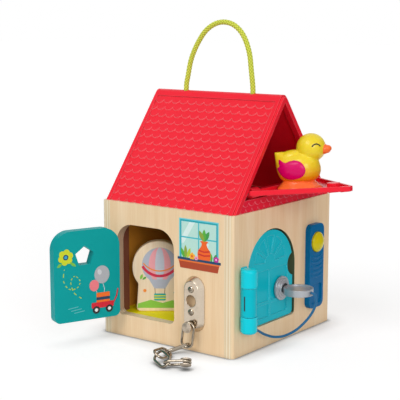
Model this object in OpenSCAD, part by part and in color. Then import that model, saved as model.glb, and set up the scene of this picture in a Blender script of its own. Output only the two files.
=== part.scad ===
/* [House] */
// Length of the front, gable face to gable face
house_l = 148; // [140:1:180]
// Depth of the house, front face to rear face
house_w = 160; // [154:1:190]
// Height of the plywood walls
wall_h = 125; // [120:1:150]
// Plywood thickness
ply_t = 9; // [8:0.5:11]
// Rounding of the upright outer corners
corner_r = 3; // [1:0.5:5]
// Height of the room floor
floor_z = 20; // [18:1:24]
// Thickness of the bottom cover
base_t = 4; // [3:0.5:6]
// Width of the square corner posts
post_w = 8; // [6:0.5:8]

/* [Front doorway] */
// Distance from the inside of the left wall to the doorway
doorway_inset = 8; // [8:0.5:12]
// Width of the doorway
doorway_w = 67; // [60:1:72]
// Height of the doorway above the floor
doorway_h = 85; // [75:1:87]
// Radius of the doorway's upper corners
doorway_top_r = 18; // [10:1:28]
// Radius of the doorway's lower corners
doorway_foot_r = 5.5; // [4:0.5:9]
// Gap round the wooden door
door_gap = 1.2; // [1.2:0.1:2]
// Angle at which the door stands open
door_open = 112; // [0:1:170]
// Size of the five-sided finger hole, centre to corner
finger_r = 9.4; // [7:0.2:11]
// Finger hole's distance from the hinge axis
finger_s = 36; // [28:1:42]
// Finger hole's height above the floor
finger_h = 60; // [54:1:68]

/* [Door hinges] */
// Radius of the hinge barrels
barrel_r = 2; // [1.8:0.1:2.4]
// Radius of the hinge pins
hinge_pin_r = 1; // [0.8:0.1:1.1]
// Thickness of the hinge leaves
leaf_t = 1.2; // [0.8:0.1:1.4]
// Width of each hinge leaf
leaf_w = 13; // [11:0.5:14]
// Height of each hinge
leaf_h = 16; // [14:1:20]
// Height of the lower hinge's centre above the floor
hinge_low = 18; // [14:1:24]
// Distance between the two hinges
hinge_rise = 44; // [36:1:48]

/* [Chain lock] */
// Distance from the doorway to the middle of the chain plate
chain_gap = 23.5; // [20:0.5:26]
// Height of the chain plate's centre
chain_z = 43; // [40:1:48]
// Length of the chain plate's base
plate_l = 50; // [46:1:56]
// Width of the chain plate's base
plate_w = 22; // [20:0.5:24]
// Width lost to the bevel on each side of the plate
plate_bevel = 3.5; // [2:0.25:4]
// How far the plate stands out of the wall
plate_h = 6; // [5:0.25:8]
// Sheet thickness of the plate and the track
sheet_t = 1.5; // [1:0.1:1.8]
// Radius of the round hole in the plate
plate_hole_r = 5.3; // [4.6:0.1:5.6]
// Wire diameter of the chain
wire_d = 2; // [1.6:0.1:2.2]
// Outside length of one link
link_l = 24.4; // [23:0.1:28]
// Outside width of one link
link_w = 12.4; // [11.6:0.1:13]
// Radius of the neck that holds the chain
neck_r = 2.4; // [2:0.1:2.6]
// Radius of the stud heads
head_r = 4.8; // [4.2:0.1:5.1]
// Length of the track on the door
track_l = 52; // [46:1:54]

/* [Gable door] */
// Distance from the front of the house to the door
gable_inset = 23; // [22:0.5:26]
// Width of the plastic door
gable_w = 73; // [66:1:76]
// Height of the plastic door
gable_h = 83.5; // [78:0.5:86]
// Gap round the plastic door
gable_gap = 1.4; // [1.2:0.1:2]
// Panel thickness of the plastic door
panel_t = 4; // [3.5:0.25:5]
// How far the door lies behind the wall face
recess = 1.5; // [0.5:0.25:2.5]
// Radius of the half-round finger notch
notch_r = 11; // [8:0.5:12]
// Radius of the fixed hinge knuckles
knuckle_r = 7.2; // [6.6:0.1:7.6]
// Length of the hinge barrel
knuckle_l = 57; // [52:1:62]
// Radius of the gable hinge pin
gable_pin_r = 2; // [1.6:0.1:2.4]

/* [Lock and key] */
// Distance from the door's free edge to the lock
lock_inset = 19.3; // [18:0.1:22]
// Height of the lock above the floor
lock_h = 28.3; // [26:0.1:32]
// Radius of the lock's outer ring
ring_r = 11; // [10:0.25:12]
// Radius of the turning lock core
core_r = 4.8; // [4.2:0.1:5.4]
// Radius of the key's round bow
bow_r = 13.4; // [12:0.2:15]
// Thickness of the key's bow
bow_t = 6; // [5:0.25:7]
// Length of the cam behind the wall
cam_l = 26; // [25:0.5:27]
// Diameter of the key cord
cord_d = 2.4; // [2:0.1:2.8]

/* [Bell] */
// Distance from the rear of the house to the bell panel's centre line
bell_inset = 32.4; // [30:0.2:34]
// Width of the bell panel
bell_w = 24.5; // [23:0.5:26]
// Length of the bell panel
bell_l = 80; // [76:1:86]
// Thickness of the bell panel
bell_t = 5.5; // [4.5:0.25:7]
// Radius of the push button
button_r = 9.5; // [8:0.25:10]
// Travel of the push button
button_travel = 3; // [2:0.25:3.5]

/* [Roof] */
// Slope of the roof in degrees
pitch = 52.5; // [50:0.5:54]
// Distance from the wall face to the eave
eave_inset = 2; // [1:0.25:3]
// Distance from each gable face to the roof's end
end_inset = 1; // [0.5:0.25:2]
// Wall thickness of the roof shell
shell_t = 3; // [2.5:0.25:3.5]
// Thickness of the shingled panels
shingle_t = 2; // [1.9:0.1:2.2]
// Width of the frame round each gable
verge_w = 6.5; // [6.2:0.1:7]
// Depth of the frame round each gable
verge_l = 6; // [5:0.25:7]
// Step round the frame's outer edge
verge_r = 2; // [1:0.25:2.5]
// Radius of the ridge
ridge_r = 6; // [5:0.25:8]
// Width of the smooth band on each side of the ridge
ridge_band = 12; // [9:0.5:15]
// Height of the fixed band under the flap
gable_band = 10.5; // [10:0.25:13]
// Width of one shingle
shingle_w = 9.4; // [8:0.2:12]
// Length of one shingle that shows
shingle_l = 7.6; // [6.8:0.1:9]
// Height of the step between shingle rows
shingle_step = 0.8; // [0.5:0.05:0.9]

/* [Attic flap] */
// Height of the flap's hinge above the fixed band
flap_rise = 5.3; // [5.2:0.1:6]
// Distance from the flap's outer face to its hinge
flap_face = 2.5; // [2.4:0.1:3]
// Wall thickness of the flap
flap_t = 2; // [1.8:0.1:2.4]
// Height of the rim above the hinge line
rim_h = 2.5; // [2:0.1:3]
// Width of the rim
rim_w = 2.4; // [2:0.1:3]
// Gap round the closed flap
flap_gap = 0.8; // [0.6:0.1:1.2]
// Length of the flap from its hinge to its tip
flap_l = 71; // [66:0.5:71]
// Upward tilt of the open flap in degrees
flap_tilt = 3.5; // [0:0.5:8]
// Radius of the flap's hinge pin
flap_pin_r = 1.25; // [1:0.05:1.3]
// Distance from the hinge to the round boss
boss_s = 53.4; // [51:0.2:55]
// Radius of the round boss
boss_r = 5.8; // [5:0.1:6.4]
// Height of the round boss
boss_h = 5.4; // [4:0.1:6]

/* [Duck] */
// Length of the duck's body
duck_l = 42; // [38:0.5:44]
// Width of the duck's body
duck_w = 32; // [28:0.5:34]
// Diameter of the duck's head
duck_head = 25; // [22:0.5:26]
// Height of the duck's foot
duck_foot = 8.5; // [7:0.25:10]
// Turn of the duck on the flap in degrees
duck_yaw = 32; // [26:1:38]
// Distance from the flap's hinge to the duck
duck_s = 24; // [23:0.5:25]
// Distance of the duck from the flap's middle line
duck_side = 7; // [6:0.25:7.5]

/* [Figure board] */
// Width of the figure's head
figure_w = 50; // [44:1:52]
// Height of the figure
figure_h = 67; // [60:1:70]
// Thickness of the figure board
figure_t = 10; // [8:0.5:11]
// Width of the figure's foot
figure_foot = 43; // [38:1:46]

/* [Handle] */
// Diameter of the handle rope
rope_d = 5; // [4:0.25:5.5]
// Distance between the rope holes
rope_span = 76; // [70:1:82]

/* [Hidden] */
$fn = 64;
// Overlap that joins pieces of one solid, and the overshoot of cutting tools
eps = 0.01;
cut = 1;
// Running clearance of pins and small seats, and the gap between moving faces
run_gap = 0.05;
clear = 0.4;

in_l = house_l / 2 - ply_t;
in_w = house_w / 2 - ply_t;
face_x = house_l / 2;
face_y = -house_w / 2;

// Wooden door, hinge axis and chain plate
door_x = -in_l + doorway_inset;
door_right = door_x + doorway_w;
axis_y = face_y - barrel_r;
chain_x = door_right + chain_gap;
hinge_zs = [floor_z + hinge_low, floor_z + hinge_low + hinge_rise];
screw_r = 1.2;
screw_head_r = 2.9;
screw_l = 6;
leaf_screw_head_r = 2.2;
wall_leaf_screws = [for (z = hinge_zs, s = [-1, 1])
  [door_x - barrel_r - leaf_w / 2, z + s * leaf_h / 4]];
door_leaf_screws = [for (z = hinge_zs, s = [-1, 1]) [barrel_r + leaf_w / 2, z + s * leaf_h / 4]];
track_s = doorway_w / 2 + 3;
track_w = 16;
track_z = hinge_zs[0] + leaf_h / 2 + 2 + track_w / 2;
track_h = 6;
track_hole = track_l / 2 - 4.5;
track_block = track_l - 14;
slot_w = 2 * neck_r + 1;
slot_l = track_l - 24;
plate_screw_zs = [chain_z + 14, chain_z - 6.3];
plate_hole_z = chain_z + 3.9;
figure_at = [door_x + 24.5, face_y + ply_t + 22.5, floor_z];
figure_turn = 37.3;

// Plastic door, its hinge axis, lock and bell
gd_y0 = face_y + gable_inset;
gd_y1 = gd_y0 + gable_w;
gd_c = (gd_y0 + gd_y1) / 2;
gd_foot_gap = 0.8;
gd_z0 = floor_z + gd_foot_gap;
gd_spring = gd_z0 + gable_h - gable_w / 2;
gd_face = face_x - recess;
gd_foot_r = 4;
bracket_t = 1.2;
swing_r = knuckle_r - 0.6;
gax_x = face_x + bracket_t + clear + swing_r;
gax_y = gd_y0 - 10.5;
knuckle_z0 = floor_z + 2;
knuckle_low = 15;
knuckle_mid = 26;
knuckle_top = knuckle_l - knuckle_low - knuckle_mid;
knuckle_soft = 3;
strap_t = 4.5;
bracket_lug_zs = [knuckle_z0 + 6, knuckle_z0 + knuckle_l - 6];
lug_r = 2.5;
lug_y = gax_y + lug_r;
// Bracket seen beyond the hinge axis
bracket_lip = 1;
lug_l = 6;
lock_y = gd_y1 - lock_inset;
lock_z = floor_z + lock_h;
ring_t = 5;
bow_x = gd_face + ring_t + bow_r + 0.6;
shank_r = 2.4;
cam_t = 2;
cam_x = in_l - clear - cam_t;
cam_w = 8;
bell_y = house_w / 2 - bell_inset;
bell_z0 = floor_z + 0.4;
button_z = bell_z0 + bell_l - 17;
flange_t = 1.5;
flange_r = button_r + 1.5;
pocket_d = 7;
spring_wire = 0.8;
spring_r = 6;
spring_turns = 3;
spring_x0 = face_x - pocket_d + spring_wire / 2 + run_gap;
spring_x1 = face_x - clear - flange_t - spring_wire / 2 - run_gap;

// Roof: half widths and heights of the line that lies d inside the slope
roof_half = house_w / 2 - eave_inset;
roof_x = face_x - end_inset;
verge_x = roof_x - verge_l;
slope_l = roof_half / cos(pitch);
rows = round((slope_l - ridge_band) / shingle_l);
row_l = (slope_l - ridge_band) / rows;
panel_l = 2 * (verge_x - 0.2);
function apex(d) = wall_h + roof_half * tan(pitch) - d / cos(pitch);
function half_at(z, d) = (apex(d) - z) / tan(pitch);
shell_in = shingle_t + shell_t;

// Attic flap, hinge at the origin of its own frame
band_z = wall_h + gable_band;
flap_x = roof_x - flap_face;
flap_z = band_z + flap_rise;
flap_foot = flap_rise - clear - 1;
flap_bar = half_at(flap_z + rim_h + 0.6, verge_w) - flap_gap;
flap_pin_l = 2 * (half_at(flap_z, verge_w) + 4);
flap_bore_r = flap_pin_r + run_gap;
flap_floor = flap_t - flap_face;
ear_r = flap_rise - 0.7;

// Rope and cord
knot_r = 5.5;
knot_z = apex(shell_in) - (knot_r + 0.3) / cos(pitch);
rope_hole_r = rope_d / 2 + 0.2;
cord_hole_r = cord_d / 2 + 0.2;
// Rope's bow: fraction of the half span, and height above the slope lines' crossing
rope_bow = [
  [-1, 0.4], [-0.95, 9.5], [-0.87, 22.5], [-0.76, 32.5], [-0.6, 42.5], [-0.4, 51.5], [-0.14, 57.5],
  [0.13, 59.5], [0.4, 57.5], [0.63, 51.5], [0.79, 42.5], [0.9, 30.5], [0.95, 16.5], [1, 0.4]
];
rope_foot = knot_z + 3;
rope_route = concat([[-rope_span / 2, 0, rope_foot]],
  [for (p = rope_bow) [p[0] * rope_span / 2, 0, apex(0) + p[1]]],
  [[rope_span / 2, 0, rope_foot]]);
// Cord: steps from the key's tip, then steps from the hole in the hinge bracket
bow_tip = [bow_x + bow_r, lock_y, lock_z];
cord_end = [gax_x - 3.2, gax_y + 4, knuckle_z0 + 2];
cord_fall = [
  [-3, 0, 0], [1, 0, 0], [4, 0.3, -2], [5, 0.3, -7], [4, -0.7, -13], [1, -2.7, -20],
  [-3, -7.7, -27], [-8, -13.7, -33]
];
cord_rise = [
  [12, 38.5, -12.5], [7, 30.5, -12.5], [3, 21.5, -9], [1, 13.5, -4], [0, 7.5, -1], [0, 3.5, 0],
  [0, 0.5, 0]
];
cord_route = concat([for (p = cord_fall) bow_tip + p], [for (p = cord_rise) cord_end + p]);

// Duck: height of its body's middle, and the middle of its head
duck_mid = duck_foot + duck_w * 0.34;
duck_crown = [duck_l / 4, 0, duck_foot + duck_w * 0.92];

// Chain: heading, climb and roll of each link, in degrees
link_az = [180, -117, -77, -27, 22];
link_el = [-82, -11, 8, -6, 7];
link_roll = [78, 30, -33, 43, -34];
link_slack = 1.6;
link_pitch = link_l - 2 * wire_d - link_slack;
rivet_z = chain_z - plate_l / 2 + 6.2;
rivet_y = face_y - plate_h - 2.8;
chain_start = [chain_x, rivet_y, rivet_z + neck_r + clear / 2 - link_slack / 2];

function unit(v) = v / norm(v);
function polar(az, el) = [cos(el) * cos(az), cos(el) * sin(az), sin(el)];
function heading(i) = polar(link_az[i], link_el[i]);
function chain_pt(i) = i == 0 ? chain_start : chain_pt(i - 1) + link_pitch * heading(i - 1);
function rect(x0, y0, x1, y1) = [[x0, y0], [x1, y0], [x1, y1], [x0, y1]];
function corner(r, i) = is_list(r) ? r[i] : r;

// Convex outline with a rounded corner of radius r at each point
module rounded(pts, r) {
  n = len(pts);
  a = [for (i = [0 : n - 1]) unit(pts[(i + n - 1) % n] - pts[i])];
  b = [for (i = [0 : n - 1]) unit(pts[(i + 1) % n] - pts[i])];
  half = [for (i = [0 : n - 1]) acos(a[i] * b[i]) / 2];
  polygon([for (i = [0 : n - 1]) each corner(r, i) > 0
    ? [pts[i] + a[i] * corner(r, i) / tan(half[i]), pts[i] + b[i] * corner(r, i) / tan(half[i])]
    : [pts[i]]]);
  for (i = [0 : n - 1]) if (corner(r, i) > 0)
    translate(pts[i] + unit(a[i] + b[i]) * corner(r, i) / sin(half[i])) circle(corner(r, i));
}

// Long outline with two round ends
module pill(l, w) {
  square([l - w, w], center = true);
  for (s = [-1, 1]) translate([s * (l - w) / 2, 0]) circle(w / 2);
}

// Plate in the plane of the front wall, from y to y + t
module front_plate(y, t) {
  translate([0, y + t, 0]) rotate([90, 0, 0]) linear_extrude(t) children();
}

// Plate in the plane of the gable walls, from x to x + t
module gable_plate(x, t) {
  translate([x, 0, 0]) rotate([90, 0, 90]) linear_extrude(t) children();
}

// Rods along X and along Y
module rod_x(x, y, z, l, r) {
  translate([x, y, z]) rotate([0, 90, 0]) cylinder(h = l, r = r);
}
module rod_y(x, y, z, l, r) {
  translate([x, y, z]) rotate([-90, 0, 0]) cylinder(h = l, r = r);
}

// Tube of radius r along a route, with n sides; ref is square to the route
module tube(route, r, n, ref) {
  last = len(route) - 1;
  points = [for (i = [0 : last]) let (
      t = unit(route[min(i + 1, last)] - route[max(i - 1, 0)]),
      a = unit(cross(t, ref)),
      b = cross(t, a))
    for (k = [0 : n - 1]) route[i] + r * (cos(360 * k / n) * a + sin(360 * k / n) * b)];
  walls = [for (i = [0 : last - 1], k = [0 : n - 1]) let (
      p = i * n + k, q = i * n + (k + 1) % n)
    each [[p, p + n, q], [q, p + n, q + n]]];
  caps = [for (k = [1 : n - 2]) each [[0, k, k + 1], [last * n, last * n + k + 1, last * n + k]]];
  polyhedron(points, concat(walls, caps));
}

// Pan-head screw along -Z with its seat at z = 0 and a cross recess
module screw(head_r, shank) {
  head_h = head_r * 0.55;
  slot_w = head_r * 0.28;
  difference() {
    intersection() {
      cylinder(h = head_h, r = head_r);
      translate([0, 0, head_h - head_r * 1.6]) sphere(head_r * 1.6);
    }
    for (a = [0, 90]) rotate(a)
      translate([-head_r * 0.6, -slot_w / 2, head_h * 0.45]) cube([head_r * 1.2, slot_w, head_h]);
  }
  translate([0, 0, -shank]) cylinder(h = shank + eps, r = screw_r);
}

// Outline of the wooden door's opening, g smaller all round
module doorway(g) {
  rounded(rect(door_x + g, floor_z + g, door_right - g, floor_z + doorway_h - g),
    [doorway_foot_r, doorway_foot_r, doorway_top_r - g, doorway_top_r - g]);
}

// Outline of the plastic door, g larger at the sides and top
module arch(g, z0) {
  rounded(rect(gd_y0 - g, z0, gd_y1 + g, gd_spring), [gd_foot_r, gd_foot_r, 0, 0]);
  translate([gd_c, gd_spring]) circle(gable_w / 2 + g);
}

// House carcass
module base_board() {
  color("tan") translate([-in_l, -in_w, 0]) cube([2 * in_l, 2 * in_w, base_t]);
}

module floor_board() {
  color("gold") translate([-in_l, -in_w, floor_z - ply_t]) cube([2 * in_l, 2 * in_w, ply_t]);
}

module ceiling_board() {
  color("tan") translate([-in_l, -in_w, wall_h - ply_t]) cube([2 * in_l, 2 * in_w, ply_t]);
}

module corner_posts() {
  post_h = wall_h - ply_t - floor_z;
  color("tan") for (x = [-in_l, in_l - post_w], y = [-in_w, in_w - post_w])
    translate([x, y, floor_z]) cube([post_w, post_w, post_h]);
}

module long_wall(y) {
  front_plate(y, ply_t) polygon(rect(-in_l, 0, in_l, wall_h));
}

module front_wall() {
  color("burlywood") difference() {
    long_wall(face_y);
    front_plate(face_y - cut, ply_t + 2 * cut) doorway(0);
    for (z = plate_screw_zs) rod_y(chain_x, face_y - cut, z, screw_l + cut, screw_r + run_gap);
    for (p = wall_leaf_screws) rod_y(p[0], face_y - cut, p[1], screw_l + cut, screw_r + run_gap);
  }
}

module rear_wall() {
  color("burlywood") long_wall(-face_y - ply_t);
}

module gable_board() {
  linear_extrude(wall_h)
    rounded(rect(in_l, face_y, face_x, -face_y), [0, corner_r, corner_r, 0]);
}

module left_gable_wall() {
  color("burlywood") difference() {
    mirror([1, 0, 0]) gable_board();
    for (p = wall_leaf_screws) if (p[0] < -in_l)
      rod_y(p[0], face_y - cut, p[1], screw_l + cut, screw_r + run_gap);
  }
}

module right_gable_wall() {
  color("burlywood") difference() {
    gable_board();
    gable_plate(in_l - cut, ply_t + 2 * cut) arch(gable_gap, floor_z);
    rod_x(face_x - pocket_d, bell_y, button_z, pocket_d + cut, flange_r + clear);
    for (z = bracket_lug_zs) rod_x(face_x - lug_l, lug_y, z, lug_l + cut, lug_r + run_gap);
  }
}

// Section of the roof, d inside the slope line, with a ridge of radius r
module roof_section(d, r) {
  h = half_at(wall_h, d);
  rounded([[-h, wall_h], [h, wall_h], [0, apex(d)]], [0, 0, r]);
}

// Frame round a gable, with a step round its outer edge
module verge() {
  difference() {
    union() {
      gable_plate(verge_x, verge_l - verge_r) roof_section(0, ridge_r);
      gable_plate(verge_x, verge_l) roof_section(verge_r, ridge_r - verge_r);
    }
    gable_plate(verge_x - cut, verge_l + 2 * cut) roof_section(verge_w, 1);
  }
}

module roof_shell() {
  end_t = 2.5;
  color("crimson") difference() {
    union() {
      gable_plate(-verge_x - eps, 2 * verge_x + 2 * eps) difference() {
        roof_section(shingle_t, ridge_r - shingle_t);
        roof_section(shell_in, 1);
      }
      gable_plate(-verge_x - eps, 2 * verge_x + 2 * eps) difference() {
        roof_section(0, ridge_r);
        roof_section(shell_in, 1);
        for (s = [0, 1]) mirror([s, 0]) translate([-roof_half, wall_h]) rotate(pitch)
          translate([-20, -shell_in * 2]) square([20 + slope_l - ridge_band, shell_in * 3]);
      }
      verge();
      mirror([1, 0, 0]) verge();
      gable_plate(-roof_x + 1, end_t) roof_section(verge_w - 1, 1);
      gable_plate(roof_x - 3.5, 2) intersection() {
        roof_section(verge_w - 1, 1);
        polygon(rect(-roof_half, wall_h, roof_half, band_z));
      }
    }
    for (s = [-1, 1]) translate([s * rope_span / 2, 0, knot_z]) cylinder(h = 40, r = rope_hole_r);
    rod_y(flap_x, -flap_pin_l / 2, flap_z, flap_pin_l, flap_pin_r + run_gap);
  }
}

// Rows of round-ended shingles on a field, its lower edge on X, its top at z = 0
module shingles(l, h, n, step, thick) {
  cols = round(l / shingle_w);
  col_w = l / cols;
  tip_r = col_w / 2 + 0.2;
  pitch_l = h / n;
  tilt = atan(step / pitch_l);
  intersection() {
    translate([-l / 2, 0, -thick]) cube([l, h, thick]);
    union() {
      translate([-l / 2, 0, -thick]) cube([l, h, thick - step * 1.7]);
      for (k = [0 : n - 1]) translate([0, k * pitch_l, 0]) rotate([-tilt, 0, 0])
        translate([0, 0, -thick * 0.7]) linear_extrude(thick * 0.7) {
          translate([-l / 2 - col_w, tip_r]) square([l + 2 * col_w, pitch_l]);
          for (j = [0 : cols + k % 2])
            translate([-l / 2 + (j + (k % 2 == 0 ? 0.5 : 0)) * col_w, tip_r]) circle(tip_r);
        }
    }
  }
}

// Shingled slope, cut level just above the walls
module slope_panel() {
  difference() {
    translate([0, -roof_half, wall_h]) rotate([pitch, 0, 0])
      shingles(panel_l, rows * row_l - 0.2, rows, shingle_step, shingle_t);
    translate([-house_l, -house_w, 0]) cube([2 * house_l, 2 * house_w, wall_h + run_gap]);
  }
}

module front_roof_panel() {
  color("red") slope_panel();
}

module rear_roof_panel() {
  color("red") rotate(180) slope_panel();
}

module gable_trim() {
  trim_t = 1.4;
  color("crimson") intersection() {
    translate([roof_x - 1.5 + trim_t, 0, wall_h]) rotate([90, 0, 90])
      shingles(2 * roof_half, gable_band, 2, 0.5, trim_t);
    gable_plate(roof_x - 1.5, trim_t) roof_section(verge_w + 0.2, 1);
  }
}

// Attic flap
module flap_frame() {
  translate([flap_x, 0, flap_z]) rotate([0, -flap_tilt, 0]) children();
}

// Flap outline, g inside its edge
module flap_outline(g) {
  tip = half_at(flap_z + flap_l, verge_w) - flap_gap / sin(pitch);
  bar = flap_bar - g;
  shoulder = (flap_bar - tip) < 0 ? 0 : flap_l - (flap_bar - tip) * tan(pitch);
  rounded([[-flap_foot + g, -bar], [shoulder, -bar], [flap_l - g, -max(tip - g / 2, 0.6)],
    [flap_l - g, max(tip - g / 2, 0.6)], [shoulder, bar], [-flap_foot + g, bar]],
    [1.5, 1.5, 0.4, 0.4, 1.5, 1.5]);
}

module attic_flap() {
  relief = 0.8;
  hinge_w = 4;
  solid_h = flap_face + rim_h - relief;
  color("red") flap_frame() difference() {
    union() {
      translate([0, 0, -flap_face + relief]) linear_extrude(flap_t - relief) flap_outline(0);
      difference() {
        translate([0, 0, -flap_face + relief]) linear_extrude(solid_h) flap_outline(0);
        translate([0, 0, flap_floor]) linear_extrude(flap_face + rim_h) difference() {
          flap_outline(rim_w);
          translate([-flap_foot, -flap_bar]) square([flap_foot + hinge_w, 2 * flap_bar]);
        }
      }
      intersection() {
        translate([0, 0, -flap_face]) linear_extrude(relief + eps) flap_outline(0.6);
        translate([-flap_foot, 0, -flap_face]) rotate([180, 0, 90])
          shingles(2 * flap_bar, flap_l + flap_foot, 10, 0.45, relief + eps);
      }
      for (s = [-1, 1]) rod_y(0, s * (flap_bar - 9) - 5, 0, 10, ear_r);
      translate([boss_s, 0, flap_floor - eps]) cylinder(h = boss_h, r = boss_r);
    }
    rod_y(0, -flap_bar - cut, 0, 2 * flap_bar + 2 * cut, flap_bore_r);
  }
}

module flap_pin() {
  color("silver") rod_y(flap_x, -flap_pin_l / 2 + 0.5, flap_z, flap_pin_l - 1, flap_pin_r);
}

// Rope handle
module rope_handle() {
  color("yellowgreen") tube(rope_route, rope_d / 2, 10, [0, 1, 0]);
}

module rope_knots() {
  color("yellowgreen") for (s = [-1, 1]) translate([s * rope_span / 2, 0, knot_z]) difference() {
    sphere(knot_r);
    translate([0, 0, 3]) cylinder(h = knot_r, r = rope_hole_r);
  }
}

// Butt hinges of the wooden door
module door_frame() {
  translate([door_x, axis_y, 0]) rotate(-door_open) children();
}

// Leaf that reaches along +X from its barrel, knuckles at the heights in zs
module leaf(zs, l) {
  difference() {
    union() {
      for (z = hinge_zs) translate([barrel_r + clear, barrel_r - leaf_t, z - leaf_h / 2])
        cube([leaf_w - clear, leaf_t, leaf_h]);
      for (z = hinge_zs, k = zs) translate([0, 0, z + k]) {
        cylinder(h = l, r = barrel_r);
        translate([0, barrel_r - leaf_t, 0]) cube([barrel_r + clear + eps, leaf_t, l]);
      }
    }
    for (z = hinge_zs) translate([0, 0, z - leaf_h]) cylinder(h = 2 * leaf_h, r = hinge_pin_r + run_gap);
    for (p = door_leaf_screws) rod_y(p[0], -cut, p[1], 2 * barrel_r, screw_r + run_gap);
  }
}

module hinge_wall_leaves() {
  k = leaf_h / 3;
  color("silver") translate([door_x, axis_y, 0]) mirror([1, 0, 0])
    leaf([-leaf_h / 2, leaf_h / 6 + 0.1], k - 0.1);
}

module hinge_door_leaves() {
  k = leaf_h / 3;
  color("silver") door_frame() leaf([-k / 2 + 0.1], k - 0.2);
}

module hinge_pins() {
  color("gray") for (z = hinge_zs) translate([door_x, axis_y, z - leaf_h / 2 - 0.5]) {
    cylinder(h = leaf_h + 0.5, r = hinge_pin_r);
    translate([0, 0, leaf_h + 0.5]) cylinder(h = 1, r = barrel_r);
  }
}

module hinge_wall_screws() {
  color("silver") for (p = wall_leaf_screws) translate([p[0], face_y - leaf_t, p[1]]) rotate([90, 0, 0])
    screw(leaf_screw_head_r, screw_l);
}

module hinge_door_screws() {
  color("silver") door_frame() for (p = door_leaf_screws) translate([p[0], barrel_r - leaf_t, p[1]])
    rotate([90, 0, 0]) screw(leaf_screw_head_r, screw_l);
}

// Wooden door, drawn shut in the frame of its hinge axis
module front_door() {
  color("teal") door_frame() difference() {
    translate([-door_x, 0, 0]) front_plate(barrel_r, ply_t) doorway(door_gap);
    translate([finger_s, barrel_r - cut, floor_z + finger_h]) rotate([-90, 0, 0]) rotate(-90)
      cylinder(h = ply_t + 2 * cut, r = finger_r, $fn = 5);
    for (p = door_leaf_screws) rod_y(p[0], barrel_r - cut, p[1], screw_l + cut, screw_r + run_gap);
    for (s = [-track_hole, track_hole])
      rod_y(track_s + s, barrel_r - cut, track_z, screw_l + cut, screw_r + run_gap);
  }
}

// Slotted track on the outside of the door
module door_track() {
  color("silver") door_frame() translate([track_s, barrel_r, track_z]) rotate([90, 0, 0]) difference() {
    union() {
      linear_extrude(sheet_t) pill(track_l, track_w);
      linear_extrude(track_h) square([track_block, track_w], center = true);
    }
    translate([0, 0, -cut]) linear_extrude(track_h - sheet_t + cut)
      square([track_block - 2 * sheet_t, track_w - 2 * sheet_t], center = true);
    translate([0, 0, -cut]) linear_extrude(track_h + 2 * cut) pill(slot_l, slot_w);
    translate([-slot_l / 2 + head_r, 0, -cut]) cylinder(h = track_h + 2 * cut, r = head_r + 0.5);
    for (s = [-1, 1]) translate([s * track_hole, 0, -cut]) cylinder(h = track_h, r = screw_r + run_gap);
  }
}

module track_screws() {
  color("silver") door_frame() for (s = [-track_hole, track_hole])
    translate([track_s + s, barrel_r - sheet_t, track_z]) rotate([90, 0, 0])
      screw(leaf_screw_head_r, screw_l);
}

// Chain plate on the wall. Bevelled pill: base l by w, sides drawn in by b over the height h
module bevelled_pill(l, w, b, h) {
  for (s = [-1, 1]) translate([s * (l - w) / 2, 0, 0]) cylinder(h = h, r1 = w / 2, r2 = w / 2 - b);
  translate([-(l - w) / 2, 0, 0]) rotate([90, 0, 90]) linear_extrude(l - w)
    polygon([[-w / 2, 0], [w / 2, 0], [w / 2 - b, h], [b - w / 2, h]]);
}

module on_plate() {
  translate([chain_x, face_y, 0]) rotate([90, 0, 0]) children();
}

module chain_plate() {
  color("silver") on_plate() difference() {
    translate([0, chain_z, 0]) rotate(90) bevelled_pill(plate_l, plate_w, plate_bevel, plate_h);
    translate([0, chain_z, -eps]) rotate(90)
      bevelled_pill(plate_l - 2 * sheet_t, plate_w - 2 * sheet_t, plate_bevel, plate_h - sheet_t);
    translate([0, plate_hole_z, -cut]) cylinder(h = plate_h + 2 * cut, r = plate_hole_r);
    for (z = plate_screw_zs) translate([0, z, -cut]) cylinder(h = plate_h + 2 * cut, r = screw_r + run_gap);
    translate([0, rivet_z, -cut]) cylinder(h = plate_h + 2 * cut, r = neck_r + run_gap);
  }
}

module chain_plate_screws() {
  color("silver") on_plate() for (z = plate_screw_zs) translate([0, z, plate_h])
    screw(screw_head_r, plate_h + screw_l - 1);
}

// Stud with a domed head at z = h and a flat head below z = 0
module stud(h, tail) {
  translate([0, 0, -tail]) cylinder(h = tail + h, r = neck_r);
  translate([0, 0, h]) {
    cylinder(h = 1.2, r = head_r);
    translate([0, 0, 1.2 - eps]) intersection() {
      cylinder(h = 1, r = head_r - 0.4);
      translate([0, 0, 1 - head_r * 2]) sphere(head_r * 2);
    }
  }
}

module chain_rivet() {
  color("silver") on_plate() translate([0, rivet_z, plate_h]) {
    stud(5.4, plate_h - 2 * run_gap);
    translate([0, 0, 2 * run_gap - plate_h]) cylinder(h = 0.8, r = neck_r + 0.6);
  }
}

// One chain link, flat in XY with its length along X
module link() {
  leg = (link_w - wire_d) / 2;
  run = link_l - link_w;
  for (s = [-1, 1]) translate([-run / 2, s * leg, 0]) rotate([0, 90, 0]) cylinder(h = run, d = wire_d);
  for (s = [0, 1]) mirror([s, 0, 0]) translate([run / 2, 0, 0]) rotate(-90)
    rotate_extrude(angle = 180) translate([leg, 0]) circle(d = wire_d);
}

module link_frame(i) {
  translate((chain_pt(i) + chain_pt(i + 1)) / 2) rotate([0, -link_el[i], link_az[i]])
    rotate([link_roll[i], 0, 0]) children();
}

module chain_link(i) {
  color("silver") link_frame(i) link();
}

module chain_link_1() { chain_link(0); }
module chain_link_2() { chain_link(1); }
module chain_link_3() { chain_link(2); }
module chain_link_4() { chain_link(3); }
module chain_link_5() { chain_link(4); }

// Loose stud held in the last link
module chain_stud() {
  grip = wire_d + 1.4;
  seat = link_l / 2 - wire_d - neck_r - clear;
  color("silver") link_frame(4) translate([seat, 0, -grip / 2]) {
    stud(grip, 0);
    mirror([0, 0, 1]) stud(0, 0);
  }
}

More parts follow.
